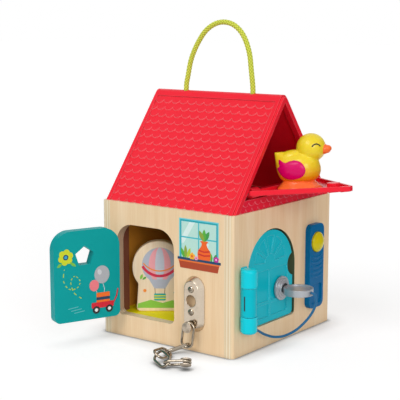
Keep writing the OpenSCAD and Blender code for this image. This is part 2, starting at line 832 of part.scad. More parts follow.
// Plastic door. Upright round bar with a soft upper edge
module soft_bar(r, h, e) {
  rotate_extrude() rounded([[0, 0], [r, 0], [r, h], [0, h]], [0, 0, e, 0]);
}

module gable_hinge_bracket() {
  splits = [knuckle_low, knuckle_low + knuckle_mid];
  color("turquoise") difference() {
    union() {
      translate([face_x, gax_y - bracket_lip, knuckle_z0])
        cube([bracket_t, knuckle_r + bracket_lip, knuckle_l]);
      for (top = [0, 1]) translate([gax_x, gax_y, knuckle_z0 + splits[top]]) mirror([0, 0, 1 - top]) {
        soft_bar(knuckle_r, top ? knuckle_top : knuckle_low, knuckle_soft);
        translate([face_x - gax_x, -bracket_lip, 0]) cube([gax_x - face_x, knuckle_r + bracket_lip,
          (top ? knuckle_top : knuckle_low) - knuckle_soft]);
      }
      for (z = bracket_lug_zs) rod_x(face_x - lug_l + run_gap, lug_y, z, lug_l, lug_r);
    }
    translate([gax_x, gax_y, knuckle_z0 + knuckle_soft])
      cylinder(h = knuckle_l - 2 * knuckle_soft, r = gable_pin_r + run_gap);
    rod_y(cord_end[0], cord_end[1], cord_end[2], 10, cord_hole_r);
  }
}

module gable_hinge_pin() {
  color("gray") translate([gax_x, gax_y, knuckle_z0 + knuckle_soft + clear])
    cylinder(h = knuckle_l - 2 * (knuckle_soft + clear), r = gable_pin_r);
}

// Recesses of the sunburst and the four panels on the plastic door
module door_relief() {
  hub_z = gd_spring + 7;
  rib = 2.4;
  side = gable_w / 2 - 10;
  translate([gd_c, hub_z]) for (k = [0 : 4]) rotate(18 + k * 36) intersection() {
    difference() {
      circle(gable_w / 2 - 12);
      circle(8);
    }
    polygon([[0, 0], [40, -40 * tan(13)], [40, 40 * tan(13)]]);
  }
  for (s = [-1, 1], b = [[gd_z0 + 5, gd_z0 + 17], [gd_z0 + 17 + rib, hub_z - 6]])
    translate([gd_c + s * (rib + side) / 2, 0])
      rounded(rect(-side / 2, b[0], side / 2, b[1]), 1.5);
}

module gable_door() {
  back = gd_face - panel_t;
  strap_z = knuckle_z0 + knuckle_low + clear;
  strap_h = knuckle_mid - 2 * clear;
  color("darkturquoise") difference() {
    union() {
      gable_plate(back, panel_t) difference() {
        arch(0, gd_z0);
        translate([gd_y1 + notch_r - 8.5, gd_spring]) circle(notch_r);
      }
      translate([gax_x, gax_y, strap_z]) cylinder(h = strap_h, r = swing_r);
      translate([face_x + bracket_t + clear, gax_y, strap_z])
        cube([strap_t, gd_y0 - gax_y + 4, strap_h]);
      translate([back, gd_y0 + 0.4, strap_z])
        cube([face_x + bracket_t + clear + strap_t - back, 3.6, strap_h]);
      rod_x(back - 1.5, lock_y, lock_z, 1.5 + eps, core_r + 3);
    }
    gable_plate(gd_face - 1.1, 2) door_relief();
    translate([gax_x, gax_y, 0]) cylinder(h = wall_h, r = gable_pin_r + run_gap);
    rod_x(back - 5, lock_y, lock_z, 20, core_r + run_gap);
  }
}

// Lock
module lock_ring() {
  color("silver") translate([gd_face, lock_y, lock_z]) rotate([0, 90, 0]) difference() {
    union() {
      cylinder(h = ring_t * 0.45, r = ring_r);
      cylinder(h = ring_t * 0.75, r = ring_r - 2.2);
      cylinder(h = ring_t, r = core_r + 2.2);
    }
    translate([0, 0, -cut]) cylinder(h = ring_t + 2 * cut, r = core_r + run_gap);
  }
}

module lock_core() {
  color("dimgray") difference() {
    rod_x(cam_x + cam_t, lock_y, lock_z, gd_face + ring_t - 1 - cam_x - cam_t, core_r);
    rod_x(gd_face - panel_t, lock_y, lock_z, panel_t + ring_t + cut, shank_r + run_gap);
  }
}

module lock_cam() {
  color("silver") gable_plate(cam_x, cam_t) translate([lock_y, lock_z]) {
    circle(core_r + 0.8);
    translate([-cam_w / 2, 0]) square([cam_w, cam_l - cam_w / 2]);
    translate([0, cam_l - cam_w / 2]) circle(cam_w / 2);
  }
}

// Key with a flat round bow; its cord hole lies on the turning axis
module key() {
  rim = 1.6;
  dish = 1.2;
  color("silver") difference() {
    union() {
      rod_x(gd_face - panel_t + run_gap, lock_y, lock_z, ring_t + panel_t + 2.6, shank_r);
      translate([bow_x, lock_y, lock_z - bow_t / 2]) cylinder(h = bow_t, r = bow_r);
    }
    for (s = [-1, 1]) translate([bow_x, lock_y, lock_z + s * (bow_t / 2 + cut - dish) - cut])
      cylinder(h = 2 * cut, r = bow_r - rim);
    rod_x(bow_x + bow_r - 4, lock_y, lock_z, 10, cord_hole_r);
  }
}

module key_cord() {
  color("steelblue") tube(cord_route, cord_d / 2, 8, unit([0.79, -0.61, 0]));
}

// Bell panel with its push button
module bell_panel() {
  color("navy") difference() {
    union() {
      gable_plate(face_x, bell_t)
        rounded(rect(bell_y - bell_w / 2, bell_z0, bell_y + bell_w / 2, bell_z0 + bell_l), bell_w / 4);
      intersection() {
        gable_plate(face_x + bell_t - eps, 0.6)
          rounded(rect(bell_y - bell_w / 2 + 3, bell_z0 + 26, bell_y + bell_w / 2 - 3, button_z), 2);
        gable_plate(face_x + bell_t - eps, 0.6) translate([bell_y, button_z])
          for (k = [1 : 5]) difference() {
            circle(button_r + 2 + k * 4.5);
            circle(button_r + k * 4.5);
          }
      }
    }
    gable_plate(face_x + bell_t - 1.5, 5)
      rounded(rect(bell_y - bell_w / 2 + 3, bell_z0 + 4, bell_y + bell_w / 2 - 3, bell_z0 + 23), 4);
    rod_x(face_x - cut, bell_y, button_z, bell_t + 2 * cut, button_r + 0.3);
  }
}

module bell_button() {
  proud = 1.2;
  crown = 4;
  dome_r = (button_r * button_r + crown * crown) / (2 * crown);
  top = flange_t + clear + bell_t + proud + crown;
  color("gold") translate([face_x - clear - flange_t, bell_y, button_z]) rotate([0, 90, 0])
    rotate_extrude() {
      square([flange_r, flange_t]);
      intersection() {
        square([button_r, top]);
        translate([0, top - dome_r]) circle(dome_r);
      }
    }
}

module bell_spring() {
  steps = 8 * spring_turns;
  color("gray") tube([for (i = [0 : steps]) [spring_x0 + (spring_x1 - spring_x0) * i / steps,
    bell_y + spring_r * cos(45 * i), button_z + spring_r * sin(45 * i)]], spring_wire / 2, 6, [1, 0, 0]);
}

// Duck, heading along X in its own frame with its foot at z = 0
module duck_frame() {
  flap_frame() translate([duck_s, -duck_side, flap_floor]) rotate(duck_yaw) children();
}

// Egg-shaped body along X, grown by g: two balls and the cone that touches both
module duck_egg(g) {
  breast = duck_w / 2;
  rump = breast * 0.68;
  front = duck_l / 2 - breast;
  back = rump - duck_l / 2;
  slant = asin((breast - rump) / (front - back));
  side = [cos(slant), sin(slant)];
  translate([0, 0, duck_mid]) rotate([0, 90, 0]) rotate_extrude() intersection() {
    translate([0, -duck_l]) square(2 * duck_l);
    union() {
      translate([0, front]) circle(breast + g);
      translate([0, back]) circle(rump + g);
      polygon([[0, front], [0, front] + (breast + g) * side,
        [0, back] + (rump + g) * side, [0, back]]);
    }
  }
}

// Upturned tail, grown by g
module duck_tail(g) {
  translate([-duck_l / 3, 0, duck_mid]) rotate([0, -36, 0])
    cylinder(h = duck_l * 0.36, r1 = duck_w * 0.24 + g, r2 = duck_w / 16 + g);
}

module duck_body() {
  color("gold") duck_frame() difference() {
    union() {
      duck_egg(0);
      duck_tail(0);
      translate(duck_crown) sphere(d = duck_head);
    }
    translate([-duck_l, -duck_w, duck_foot - duck_l]) cube([2 * duck_l, 2 * duck_w, duck_l]);
  }
}

// Wing outline with a turned-up tip
module wing_outline() {
  translate([-duck_l * 0.02, duck_mid]) circle(duck_w * 0.28);
  translate([-duck_l * 0.2, duck_mid]) circle(duck_w * 0.22);
  translate([-duck_l * 0.32, duck_mid + duck_w * 0.07]) circle(duck_w * 0.14);
}

module duck_wings() {
  wing_t = 1.2;
  color("deeppink") duck_frame() difference() {
    intersection() {
      duck_egg(wing_t);
      front_plate(-duck_w, 2 * duck_w) wing_outline();
    }
    duck_egg(0.02);
    duck_tail(0.02);
    translate([-duck_l, -duck_w * 0.16, 0]) cube([2 * duck_l, duck_w * 0.32, 2 * duck_l]);
  }
}

module ball(p, size) {
  translate(p) scale(size) sphere(0.5, $fn = 20);
}

module duck_beak() {
  color("orange") duck_frame() difference() {
    hull() {
      ball(duck_crown + duck_head * [0.46, 0, -0.06], duck_head * [0.24, 0.4, 0.32]);
      ball(duck_crown + duck_head * [0.64, 0, -0.04], duck_head * [0.12, 0.24, 0.16]);
    }
    translate(duck_crown) sphere(d = duck_head + 0.04);
  }
}

module duck_foot_base() {
  toe = duck_l * 0.48;
  color("orange") duck_frame() hull() {
    translate([-1, 0, 0]) scale([1, 0.72, 1]) cylinder(h = duck_foot / 4, r = toe, $fn = 48);
    translate([-1, 0, duck_foot - 1]) scale([1, 0.72, 1]) cylinder(h = 1, r = toe * 0.74, $fn = 48);
  }
}

// Loose plywood figure
module figure_board() {
  head_r = figure_w / 2;
  head_z = figure_h - head_r;
  color("burlywood") translate(figure_at) rotate(figure_turn)
    front_plate(-figure_t / 2, figure_t) {
      translate([0, head_z]) circle(head_r);
      rounded([[-figure_foot / 2, 0], [figure_foot / 2, 0],
        [figure_foot / 2 - 3, head_z], [3 - figure_foot / 2, head_z]], [4, 4, 0, 0]);
    }
}

base_board();
floor_board();
ceiling_board();
corner_posts();
front_wall();
rear_wall();
left_gable_wall();
right_gable_wall();
roof_shell();
front_roof_panel();
rear_roof_panel();
gable_trim();
flap_pin();
rope_handle();
rope_knots();
hinge_wall_leaves();
hinge_pins();
hinge_wall_screws();
chain_plate();
chain_rivet();
chain_plate_screws();
gable_hinge_bracket();
gable_hinge_pin();
bell_panel();
bell_spring();
key_cord();
front_door();
hinge_door_leaves();
hinge_door_screws();
door_track();
track_screws();
gable_door();
lock_ring();
lock_core();
lock_cam();
key();
bell_button();
attic_flap();
duck_body();
duck_wings();
duck_beak();
duck_foot_base();
figure_board();
chain_link_1();
chain_link_2();
chain_link_3();
chain_link_4();
chain_link_5();
chain_stud();
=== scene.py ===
# Lock activity house: finishes, soft pieces, prints, light and camera
import math

import bmesh
import bpy
from mathutils import Matrix, Vector
from mathutils.bvhtree import BVHTree


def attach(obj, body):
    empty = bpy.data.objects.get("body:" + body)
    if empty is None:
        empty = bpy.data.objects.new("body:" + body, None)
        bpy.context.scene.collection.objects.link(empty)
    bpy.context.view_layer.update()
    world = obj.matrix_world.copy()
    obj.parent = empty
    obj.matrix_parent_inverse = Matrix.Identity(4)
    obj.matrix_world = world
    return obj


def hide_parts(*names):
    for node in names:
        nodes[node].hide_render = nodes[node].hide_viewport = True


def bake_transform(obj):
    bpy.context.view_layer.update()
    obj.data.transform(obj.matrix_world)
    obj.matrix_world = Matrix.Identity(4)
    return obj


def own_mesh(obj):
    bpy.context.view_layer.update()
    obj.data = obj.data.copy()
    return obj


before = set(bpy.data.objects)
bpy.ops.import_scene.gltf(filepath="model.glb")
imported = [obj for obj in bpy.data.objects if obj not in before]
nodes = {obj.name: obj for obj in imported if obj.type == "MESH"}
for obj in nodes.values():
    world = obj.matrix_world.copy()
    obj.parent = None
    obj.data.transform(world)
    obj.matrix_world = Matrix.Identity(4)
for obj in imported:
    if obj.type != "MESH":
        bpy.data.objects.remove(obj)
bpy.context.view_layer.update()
mm = 0.001
scene = bpy.context.scene
print("frame loaded:", len(nodes), "nodes")


# Small helpers

def linear(hexText, alpha=1.0):
    parts = [int(hexText[i:i + 2], 16) / 255 for i in (1, 3, 5)]
    return [p / 12.92 if p <= 0.04045 else ((p + 0.055) / 1.055) ** 2.4 for p in parts] + [alpha]


def addNode(mat, kind, inputs=None):
    # A socket given as a value is linked, anything else is set
    node = mat.node_tree.nodes.new(kind)
    for key, value in (inputs or {}).items():
        if isinstance(value, bpy.types.NodeSocket):
            mat.node_tree.links.new(value, node.inputs[key])
        elif isinstance(key, int) or key in node.inputs:
            node.inputs[key].default_value = value
        else:
            setattr(node, key, value)
    return node


def objectSpace(mat):
    return addNode(mat, "ShaderNodeTexCoord").outputs["Object"]


def noise(mat, vector, detail, sizeMm=None, **more):
    scale = 1 / (sizeMm * mm) if sizeMm else 1
    inputs = {"Scale": scale, "Detail": detail, **more, "Vector": vector}
    return addNode(mat, "ShaderNodeTexNoise", inputs).outputs[0]


def remap(mat, value, source=(0, 1), target=(0, 1), **more):
    ends = {"From Min": source[0], "From Max": source[1], "To Min": target[0], "To Max": target[1]}
    return addNode(mat, "ShaderNodeMapRange", {**more, **ends, "Value": value}).outputs[0]


def calculate(mat, operation, *values):
    return addNode(mat, "ShaderNodeMath", {"operation": operation, **dict(enumerate(values))}).outputs[0]


def mixColour(mat, share, first, second):
    # Each colour is a hex text or a socket
    first, second = [linear(c) if isinstance(c, str) else c for c in (first, second)]
    return addNode(mat, "ShaderNodeMix", {"data_type": "RGBA", 0: share, 6: first, 7: second}).outputs[2]


def relief(mat, height, strength, depthMm, **more):
    inputs = {"Strength": strength, "Distance": depthMm * mm, "Height": height, **more}
    return addNode(mat, "ShaderNodeBump", inputs).outputs[0]


def roundedEdges(mat, roundMm):
    return addNode(mat, "ShaderNodeBevel", {"samples": 6, "Radius": roundMm * mm}).outputs[0]


def newFinish(name, settings):
    mat = bpy.data.materials.new(name)
    mat.use_nodes = True
    shader = mat.node_tree.nodes["Principled BSDF"]
    for key, value in settings.items():
        shader.inputs[key].default_value = value
    return mat, shader


def feed(mat, shader, sources):
    for socket, source in sources.items():
        mat.node_tree.links.new(source, shader.inputs[socket])


def newPiece(name, mesh, body, mats):
    obj = bpy.data.objects.new(name, mesh)
    scene.collection.objects.link(obj)
    for mat in mats:
        mesh.materials.append(mat)
    for face in mesh.polygons:
        face.use_smooth = True
    if body:
        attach(obj, body)
    return obj


def finishMesh(name, bm, place=None):
    bmesh.ops.recalc_face_normals(bm, faces=bm.faces)
    mesh = bpy.data.meshes.new(name)
    bm.to_mesh(mesh)
    bm.free()
    if place is not None:
        mesh.transform(place)
    return mesh


# Camera at the photograph's angle

shot = {"place": (0.6065, -0.8254, 0.2915), "azimuth": 37.287, "elevation": 9.438, "lens": 99.6}
cameraData = bpy.data.cameras.new("camera")
cameraData.lens = shot["lens"]
cameraData.sensor_width = 36
cameraData.clip_end = 20
camera = bpy.data.objects.new("camera", cameraData)
camera.location = shot["place"]
camera.rotation_euler = (math.radians(90 - shot["elevation"]), 0, math.radians(shot["azimuth"]))
scene.collection.objects.link(camera)
scene.camera = camera
scene.view_settings.view_transform = "Standard"


# Finishes

def birchPly(name, axis, start, turn=0.0, tint=("#F8DDB8", "#EAC595"), innerTintAndShade=None, jambShade=None):
    # Birch plywood, sanded and clear-coated: pale faces with fine long fibres, striped edges.
    # axis is the way through the board and start, in metres, is where its first veneer begins
    mat, shader = newFinish(name, {"Roughness": 0.45, "Coat Weight": 0.12, "Coat Roughness": 0.3})
    fibre = {"widthMm": 0.9, "lengthMm": 34, "bandMm": 9, "bandLengthMm": 150, "reliefMm": 0.06}
    veneer = {"thickMm": 1.5, "waver": 0.25, "pale": "#F6E8CC", "glue": "#D8BD96", "dark": "#E6CFA8"}
    along = 0 if axis == 2 else 2  # solid wood, with no axis, runs upright
    fine = [1 / (fibre["widthMm"] * mm)] * 3
    fine[along] = 1 / (fibre["lengthMm"] * mm)
    broad = [1 / (fibre["bandMm"] * mm)] * 3
    broad[along] = 1 / (fibre["bandLengthMm"] * mm)
    where = addNode(mat, "ShaderNodeTexCoord").outputs
    spin = {"Rotation": (0, 0, turn)}
    turned = addNode(mat, "ShaderNodeMapping", {**spin, "Vector": where["Object"]}).outputs[0]
    fineMap = addNode(mat, "ShaderNodeMapping", {"Scale": fine, "Vector": turned}).outputs[0]
    broadMap = addNode(mat, "ShaderNodeMapping", {"Scale": broad, "Vector": turned}).outputs[0]
    fibres = noise(mat, fineMap, 4, Roughness=0.6)
    bands = noise(mat, broadMap, 2, Distortion=0.6)
    share = remap(mat, calculate(mat, "ADD", fibres, bands), (0.62, 1.38))
    colour = mixColour(mat, share, *tint)
    if axis is not None:
        # Edge: thin veneers, every other one showing darker end grain, with glue lines between
        parts = addNode(mat, "ShaderNodeSeparateXYZ", {0: turned}).outputs
        depth = remap(mat, parts[axis], (start, start + veneer["thickMm"] * mm), clamp=False)
        wavy = calculate(mat, "MULTIPLY_ADD", bands, veneer["waver"], depth)
        edge = addNode(mat, "ShaderNodeValToRGB", {0: calculate(mat, "PINGPONG", wavy, 1.0)})
        stripes = edge.color_ramp.elements
        stripes[0].position = 0.30
        stripes[0].color = linear(veneer["pale"])
        stripes[1].position = 0.62
        stripes[1].color = linear(veneer["dark"])
        stripes.new(0.46).color = linear(veneer["glue"])
        rim = edge.outputs[0]
        facing = {"vector_type": "VECTOR", **spin, "Vector": where["Normal"]}
        normal = addNode(mat, "ShaderNodeMapping", facing).outputs[0]
        sides = addNode(mat, "ShaderNodeSeparateXYZ", {0: normal}).outputs
        if jambShade:
            # Edge of the opening: its cut end grain painted darker as shade, greenish on the gable side as
            # painted bounce light from the door; the upward-facing sill, which the light reaches, is left
            # unshaded
            jambShadeTint, reachMm, strength = jambShade
            inset = calculate(mat, "ABSOLUTE", parts[1 - axis])
            within = remap(mat, inset, (reachMm * mm, (reachMm - 1) * mm), (0, strength))
            upright = remap(mat, sides[2], (0.9, 0.5))
            rim = mixColour(mat, calculate(mat, "MULTIPLY", within, upright), rim, jambShadeTint)
        if innerTintAndShade:
            # One face differs: towards the room it is painted darker orange as shade and the yellow
            # floor's bounce light; the ceiling's face towards the attic is red
            tone, way = innerTintAndShade
            inward = remap(mat, sides[axis], (-0.3 * way, 0.3 * way))
            colour = mixColour(mat, inward, colour, tone)
        onFace = remap(mat, calculate(mat, "ABSOLUTE", sides[axis]), (0.45, 0.8))
        colour = mixColour(mat, onFace, rim, colour)
    feed(mat, shader, {
        "Base Color": colour,
        "Roughness": remap(mat, fibres, target=(0.38, 0.56)),
        "Normal": relief(mat, fibres, 0.25, fibre["reliefMm"]),
    })
    return mat


def satinPaint(name, tints):
    # Sprayed satin paint on plywood: even colour, faint orange peel, grain just telegraphing
    mat, shader = newFinish(name, {"Roughness": 0.42, "Specular IOR Level": 0.15})
    paint = {"cloudMm": 14, "peelMm": 0.7, "reliefMm": 0.04}
    where = objectSpace(mat)
    cloud = noise(mat, where, 3, paint["cloudMm"])
    peel = noise(mat, where, 2, paint["peelMm"])
    feed(mat, shader, {
        "Base Color": mixColour(mat, cloud, *tints),
        "Roughness": remap(mat, cloud, target=(0.34, 0.5)),
        "Normal": relief(mat, peel, 0.3, paint["reliefMm"]),
    })
    return mat


def mouldedAbs(name, tints, rough=0.34, metal=0.0, edge=None, shine=0.2, roundMm=0.6):
    # Injection-moulded ABS: even pigment with slow flow clouds and a very fine tool texture, rounded along
    # every edge by the draft of the tool; the edge colour is a painted highlight along those rounded edges
    mat, shader = newFinish(name, {"Roughness": rough, "Specular IOR Level": shine, "Metallic": metal})
    tool = {"flowMm": 22, "grainMm": 0.5, "reliefMm": 0.01}
    where = objectSpace(mat)
    flow = noise(mat, where, 2, tool["flowMm"], Distortion=0.8)
    grain = noise(mat, where, 2, tool["grainMm"])
    colour = mixColour(mat, flow, *tints)
    rounded = roundedEdges(mat, roundMm)
    if edge:
        sharp = addNode(mat, "ShaderNodeNewGeometry").outputs["Normal"]
        same = addNode(mat, "ShaderNodeVectorMath", {"operation": "DOT_PRODUCT", 0: sharp, 1: rounded})
        paintedHighlight = remap(mat, same.outputs["Value"], (0.99, 0.86))
        colour = mixColour(mat, paintedHighlight, colour, edge)
    feed(mat, shader, {
        "Base Color": colour,
        "Roughness": remap(mat, grain, target=(rough - 0.06, rough + 0.08)),
        "Normal": relief(mat, grain, 0.3, tool["reliefMm"], Normal=rounded),
    })
    return mat


def nickelPlate(name, tints, rough, roundMm):
    # Bright nickel on pressed steel: warm mirror with light handling haze, rounded by the press
    mat, shader = newFinish(name, {"Metallic": 1.0, "Roughness": rough})
    plate = {"hazeMm": 6, "pitMm": 0.6, "reliefMm": 0.03}
    where = objectSpace(mat)
    haze = noise(mat, where, 5, plate["hazeMm"], Roughness=0.65)
    pits = noise(mat, where, 3, plate["pitMm"])
    feed(mat, shader, {
        "Base Color": mixColour(mat, haze, *tints),
        "Roughness": remap(mat, haze, target=(rough - 0.08, rough + 0.12)),
        "Normal": relief(mat, pits, 0.2, plate["reliefMm"], Normal=roundedEdges(mat, roundMm)),
    })
    return mat


def braidedYarn(name, tints):
    # Braided polyester: matt plaits with a soft sheen, painted darker in the grooves between them as shade
    mat, shader = newFinish(name, {"Roughness": 0.8, "Sheen Weight": 0.25, "Sheen Roughness": 0.5})
    yarn = {"hairMm": 0.35, "reliefMm": 0.08}
    grooveShade = addNode(mat, "ShaderNodeAttribute", {"attribute_name": "grooveShade"}).outputs["Fac"]
    hair = noise(mat, objectSpace(mat), 3, yarn["hairMm"])
    feed(mat, shader, {
        "Base Color": mixColour(mat, grooveShade, *tints),
        "Normal": relief(mat, hair, 0.4, yarn["reliefMm"]),
    })
    return mat


def softVinyl(name, tints, darkerBelow=None, shine=0.36):
    # Rotocast vinyl: satin skin with a little depth, darker orange towards the bottom, fading out between
    # two heights
    mat, shader = newFinish(name, {
        "Roughness": 0.28, "Specular IOR Level": shine, "Subsurface Weight": 0.08,
        "Subsurface Radius": (0.004, 0.002, 0.001), "Subsurface Scale": 0.4,
    })
    vinyl = {"flowMm": 12, "skinMm": 0.6, "reliefMm": 0.04}
    where = objectSpace(mat)
    flow = noise(mat, where, 2, vinyl["flowMm"])
    skin = noise(mat, where, 2, vinyl["skinMm"])
    colour = mixColour(mat, flow, *tints)
    if darkerBelow:
        low, lowMm, highMm = darkerBelow
        parts = addNode(mat, "ShaderNodeSeparateXYZ", {0: where}).outputs
        height = remap(mat, parts[2], (lowMm * mm, highMm * mm), interpolation_type="SMOOTHSTEP")
        colour = mixColour(mat, height, low, colour)
    feed(mat, shader, {
        "Base Color": colour,
        "Roughness": remap(mat, skin, target=(0.22, 0.34)),
        "Normal": relief(mat, skin, 0.07, vinyl["reliefMm"]),
    })
    return mat


inkPots = {}


def printInk(hexText):
    # Screen-printed ink: thin satin film with a slightly uneven lay
    if hexText not in inkPots:
        mat, shader = newFinish("ink" + hexText[1:], {"Roughness": 0.5})
        film = {"layMm": 1.5, "shade": (0.93, 1.05)}
        lay = noise(mat, objectSpace(mat), 3, film["layMm"])
        shade = remap(mat, lay, target=film["shade"])
        tone = addNode(mat, "ShaderNodeHueSaturation", {"Color": linear(hexText), "Value": shade})
        feed(mat, shader, {"Base Color": tone.outputs[0]})
        inkPots[hexText] = mat
    return inkPots[hexText]


figureTurn = 37.3
roofReds = ("#F51E34", "#EE182E")
brightNickel = ("#DCCDB9", "#C6B6A2")
finishes = {
    # painted shade on the front doorway's cut edges
    "frontPly": birchPly("birchFront", 1, -0.080, jambShade=("#A16C5E", 72, 0.6)),
    # room faces of the rear and left walls darkened to orange: painted shade and yellow floor bounce light
    "rearPly": birchPly("birchRear", 1, 0.071, innerTintAndShade=("#A8480C", -1)),
    "leftPly": birchPly("birchLeft", 0, -0.074, innerTintAndShade=("#D08A2C", 1)),
    # painted shade on the gable doorway's cut edges, greenish as painted bounce light from the door
    "rightPly": birchPly("birchRight", 0, 0.065, jambShade=("#4C5A3E", 72, 1.0)),
    "levelPly": birchPly("birchLevel", 2, 0.0),
    "ceilingPly": birchPly("birchCeiling", 2, 0.0, innerTintAndShade=("#D8182C", 1)),
    "figurePly": birchPly("birchFigure", 1, 0.0, -math.radians(figureTurn), ("#F6E2C6", "#EBCFA8")),
    # corner posts tinted dark reddish brown as painted shade
    "shadedPostWood": birchPly("birchPostShaded", None, 0.0, 0.0, ("#7F4936", "#6F3A29")),
    "yellowPaint": satinPaint("yellowSatinPaint", ("#FCEE00", "#F4E400")),
    "tealPaint": satinPaint("tealSatinPaint", ("#00A6A6", "#009D9E")),
    # the last colour given to each moulded finish below is its painted highlight along the edges
    "trimAbs": mouldedAbs("trimAbs", ("#EE1A3A", "#E41434"), 0.32, 0.0, "#FF94A4"),
    "redAbs": mouldedAbs("redAbs", roofReds, 0.28, 0.0, "#FF4A56"),
    "shellAbs": mouldedAbs("shellAbs", roofReds, 0.28, 0.0, "#FF626C", 0.2, 0.9),
    "shingleAbs": mouldedAbs("shingleAbs", roofReds, 0.28, 0.0, "#FF9096", 0.2, 0.75),
    "turquoiseAbs": mouldedAbs("turquoiseAbs", ("#06C2D2", "#02B8C9"), 0.3, 0.0, "#66E0EA", 0.12, 0.8),
    "hingeAbs": mouldedAbs("hingeAbs", ("#00D4E4", "#00CCDC"), 0.24, 0.0, "#4CE6EE"),
    "blueAbs": mouldedAbs("blueAbs", ("#006AA0", "#006298"), 0.28, 0.0, "#2890C0", 0.08),
    "buttonAbs": mouldedAbs("buttonAbs", ("#DACA0C", "#D2C208"), 0.2),
    "silverAbs": mouldedAbs("silverAbs", ("#B4B7BB", "#A9ACB1"), 0.3, 0.45),
    "lockCore": mouldedAbs("charcoalAbs", ("#3A3C40", "#2C2E32"), 0.4),
    "pressedNickel": nickelPlate("pressedNickelPlate", brightNickel, 0.16, 1.1),
    "nickel": nickelPlate("nickelPlate", brightNickel, 0.16, 0.25),
    # the same nickel tinted darker and more mottled: painted reflection of a dark room in the wire
    "darkenedWireNickel": nickelPlate("darkenedWireNickelPlate", ("#B4A898", "#8E8474"), 0.15, 0.25),
    "turnedNickel": nickelPlate("turnedNickelPlate", ("#D2C4B2", "#BFB09E"), 0.42, 0.25),
    "steel": nickelPlate("plainSteel", ("#A8AAAD", "#94969A"), 0.32, 0.25),
    # the first colour of each braid is the painted shade in its grooves
    "rope": braidedYarn("limeBraid", ("#8A9410", "#E6EE52")),
    "cord": braidedYarn("blueBraid", ("#06405F", "#1272A6")),
    "duckYellow": softVinyl("yellowVinyl", ("#F2DA30", "#ECCE20"), ("#EC9A0A", 148, 172)),
    "duckMagenta": softVinyl("magentaVinyl", ("#E0006C", "#D40062"), shine=0.22),
    "duckOrange": softVinyl("orangeVinyl", ("#FF7A35", "#FA6524")),
    "duckEye": printInk("#1E150C"),
}
chainLinks = ["chain_link_%d" % k for k in range(1, 6)]
wearing = {
    "frontPly": ["front_wall"],
    "rearPly": ["rear_wall"],
    "leftPly": ["left_gable_wall"],
    "rightPly": ["right_gable_wall"],
    "levelPly": ["base_board"],
    "ceilingPly": ["ceiling_board"],
    "shadedPostWood": ["corner_posts"],
    "figurePly": ["figure_board"],
    "yellowPaint": ["floor_board"],
    "tealPaint": ["front_door"],
    "redAbs": ["attic_flap"],
    "shellAbs": ["roof_shell"],
    "shingleAbs": ["front_roof_panel", "rear_roof_panel"],
    "trimAbs": ["gable_trim"],
    "turquoiseAbs": ["gable_door"],
    "hingeAbs": ["gable_hinge_bracket"],
    "blueAbs": ["bell_panel"],
    "buttonAbs": ["bell_button"],
    "silverAbs": ["lock_ring", "key"],
    "lockCore": ["lock_core"],
    "nickel": ["hinge_wall_leaves", "hinge_pins", "hinge_wall_screws", "hinge_door_leaves",
               "hinge_door_screws", "door_track", "track_screws"],
    "darkenedWireNickel": ["chain_plate_screws"] + chainLinks,
    "turnedNickel": ["chain_rivet", "chain_stud"],
    "pressedNickel": ["chain_plate"],
    "steel": ["flap_pin", "gable_hinge_pin", "bell_spring", "lock_cam"],
    "rope": ["rope_handle", "rope_knots"],
    "cord": ["key_cord"],
    "duckYellow": ["duck_body"],
    "duckMagenta": ["duck_wings"],
    "duckOrange": ["duck_beak", "duck_foot_base"],
}
for finish, names in wearing.items():
    for name in names:
        for place in nodes[name].material_slots:
            place.material = finishes[finish]
print("finishes on", sum(len(n) for n in wearing.values()), "nodes")


# Softened edges on the rigid pieces

soften = {"weldMm": 0.01, "flatDeg": 0.4, "edgeDeg": 28, "fineMm": 0.4}
softEdges = {  # width in mm
    "front_door": 1.6, "figure_board": 1.2,
    "front_wall": 0.6, "left_gable_wall": 0.6, "right_gable_wall": 0.6,
    "roof_shell": 1.4, "gable_door": 0.4, "gable_hinge_bracket": 2.0,
    "bell_panel": 1.6, "bell_button": 0.4, "lock_ring": 0.5, "key": 0.7,
    "chain_plate": 1.6, "door_track": 0.5, "chain_stud": 0.3, "chain_rivet": 0.3,
    "front_roof_panel": 0.36, "rear_roof_panel": 0.36, "gable_trim": 0.25,
}
for name, width in softEdges.items():
    weld = nodes[name].modifiers.new("weld", "WELD")
    weld.merge_threshold = soften["weldMm"] * mm
    merge = nodes[name].modifiers.new("merge", "DECIMATE")
    merge.decimate_type = "DISSOLVE"
    merge.angle_limit = math.radians(soften["flatDeg"])
    bevel = nodes[name].modifiers.new("soften", "BEVEL")
    bevel.width = width * mm
    bevel.segments = 3 if width > soften["fineMm"] else 2
    bevel.limit_method = "ANGLE"
    bevel.angle_limit = math.radians(soften["edgeDeg"])
    bevel.harden_normals = False
    even = nodes[name].modifiers.new("even", "WEIGHTED_NORMAL")
    even.keep_sharp = False
wireSwell = 0.15  # mm all round: the real wire looks thicker than the solids, which need room to swing
for name in chainLinks:
    swell = nodes[name].modifiers.new("swell", "DISPLACE")
    swell.strength = wireSwell * mm
    swell.mid_level = 0
print("edges softened on", len(softEdges), "nodes")


# Rope, cord and spring

spanSteps = 24


def between(a, b, c, d, t):
    # A smooth curve from b to c that heads from a and towards d
    bend = 2 * a - 5 * b + 4 * c - d
    twist = 3 * b - a - 3 * c + d
    return 0.5 * (2 * b + (c - a) * t + bend * t * t + twist * t ** 3)


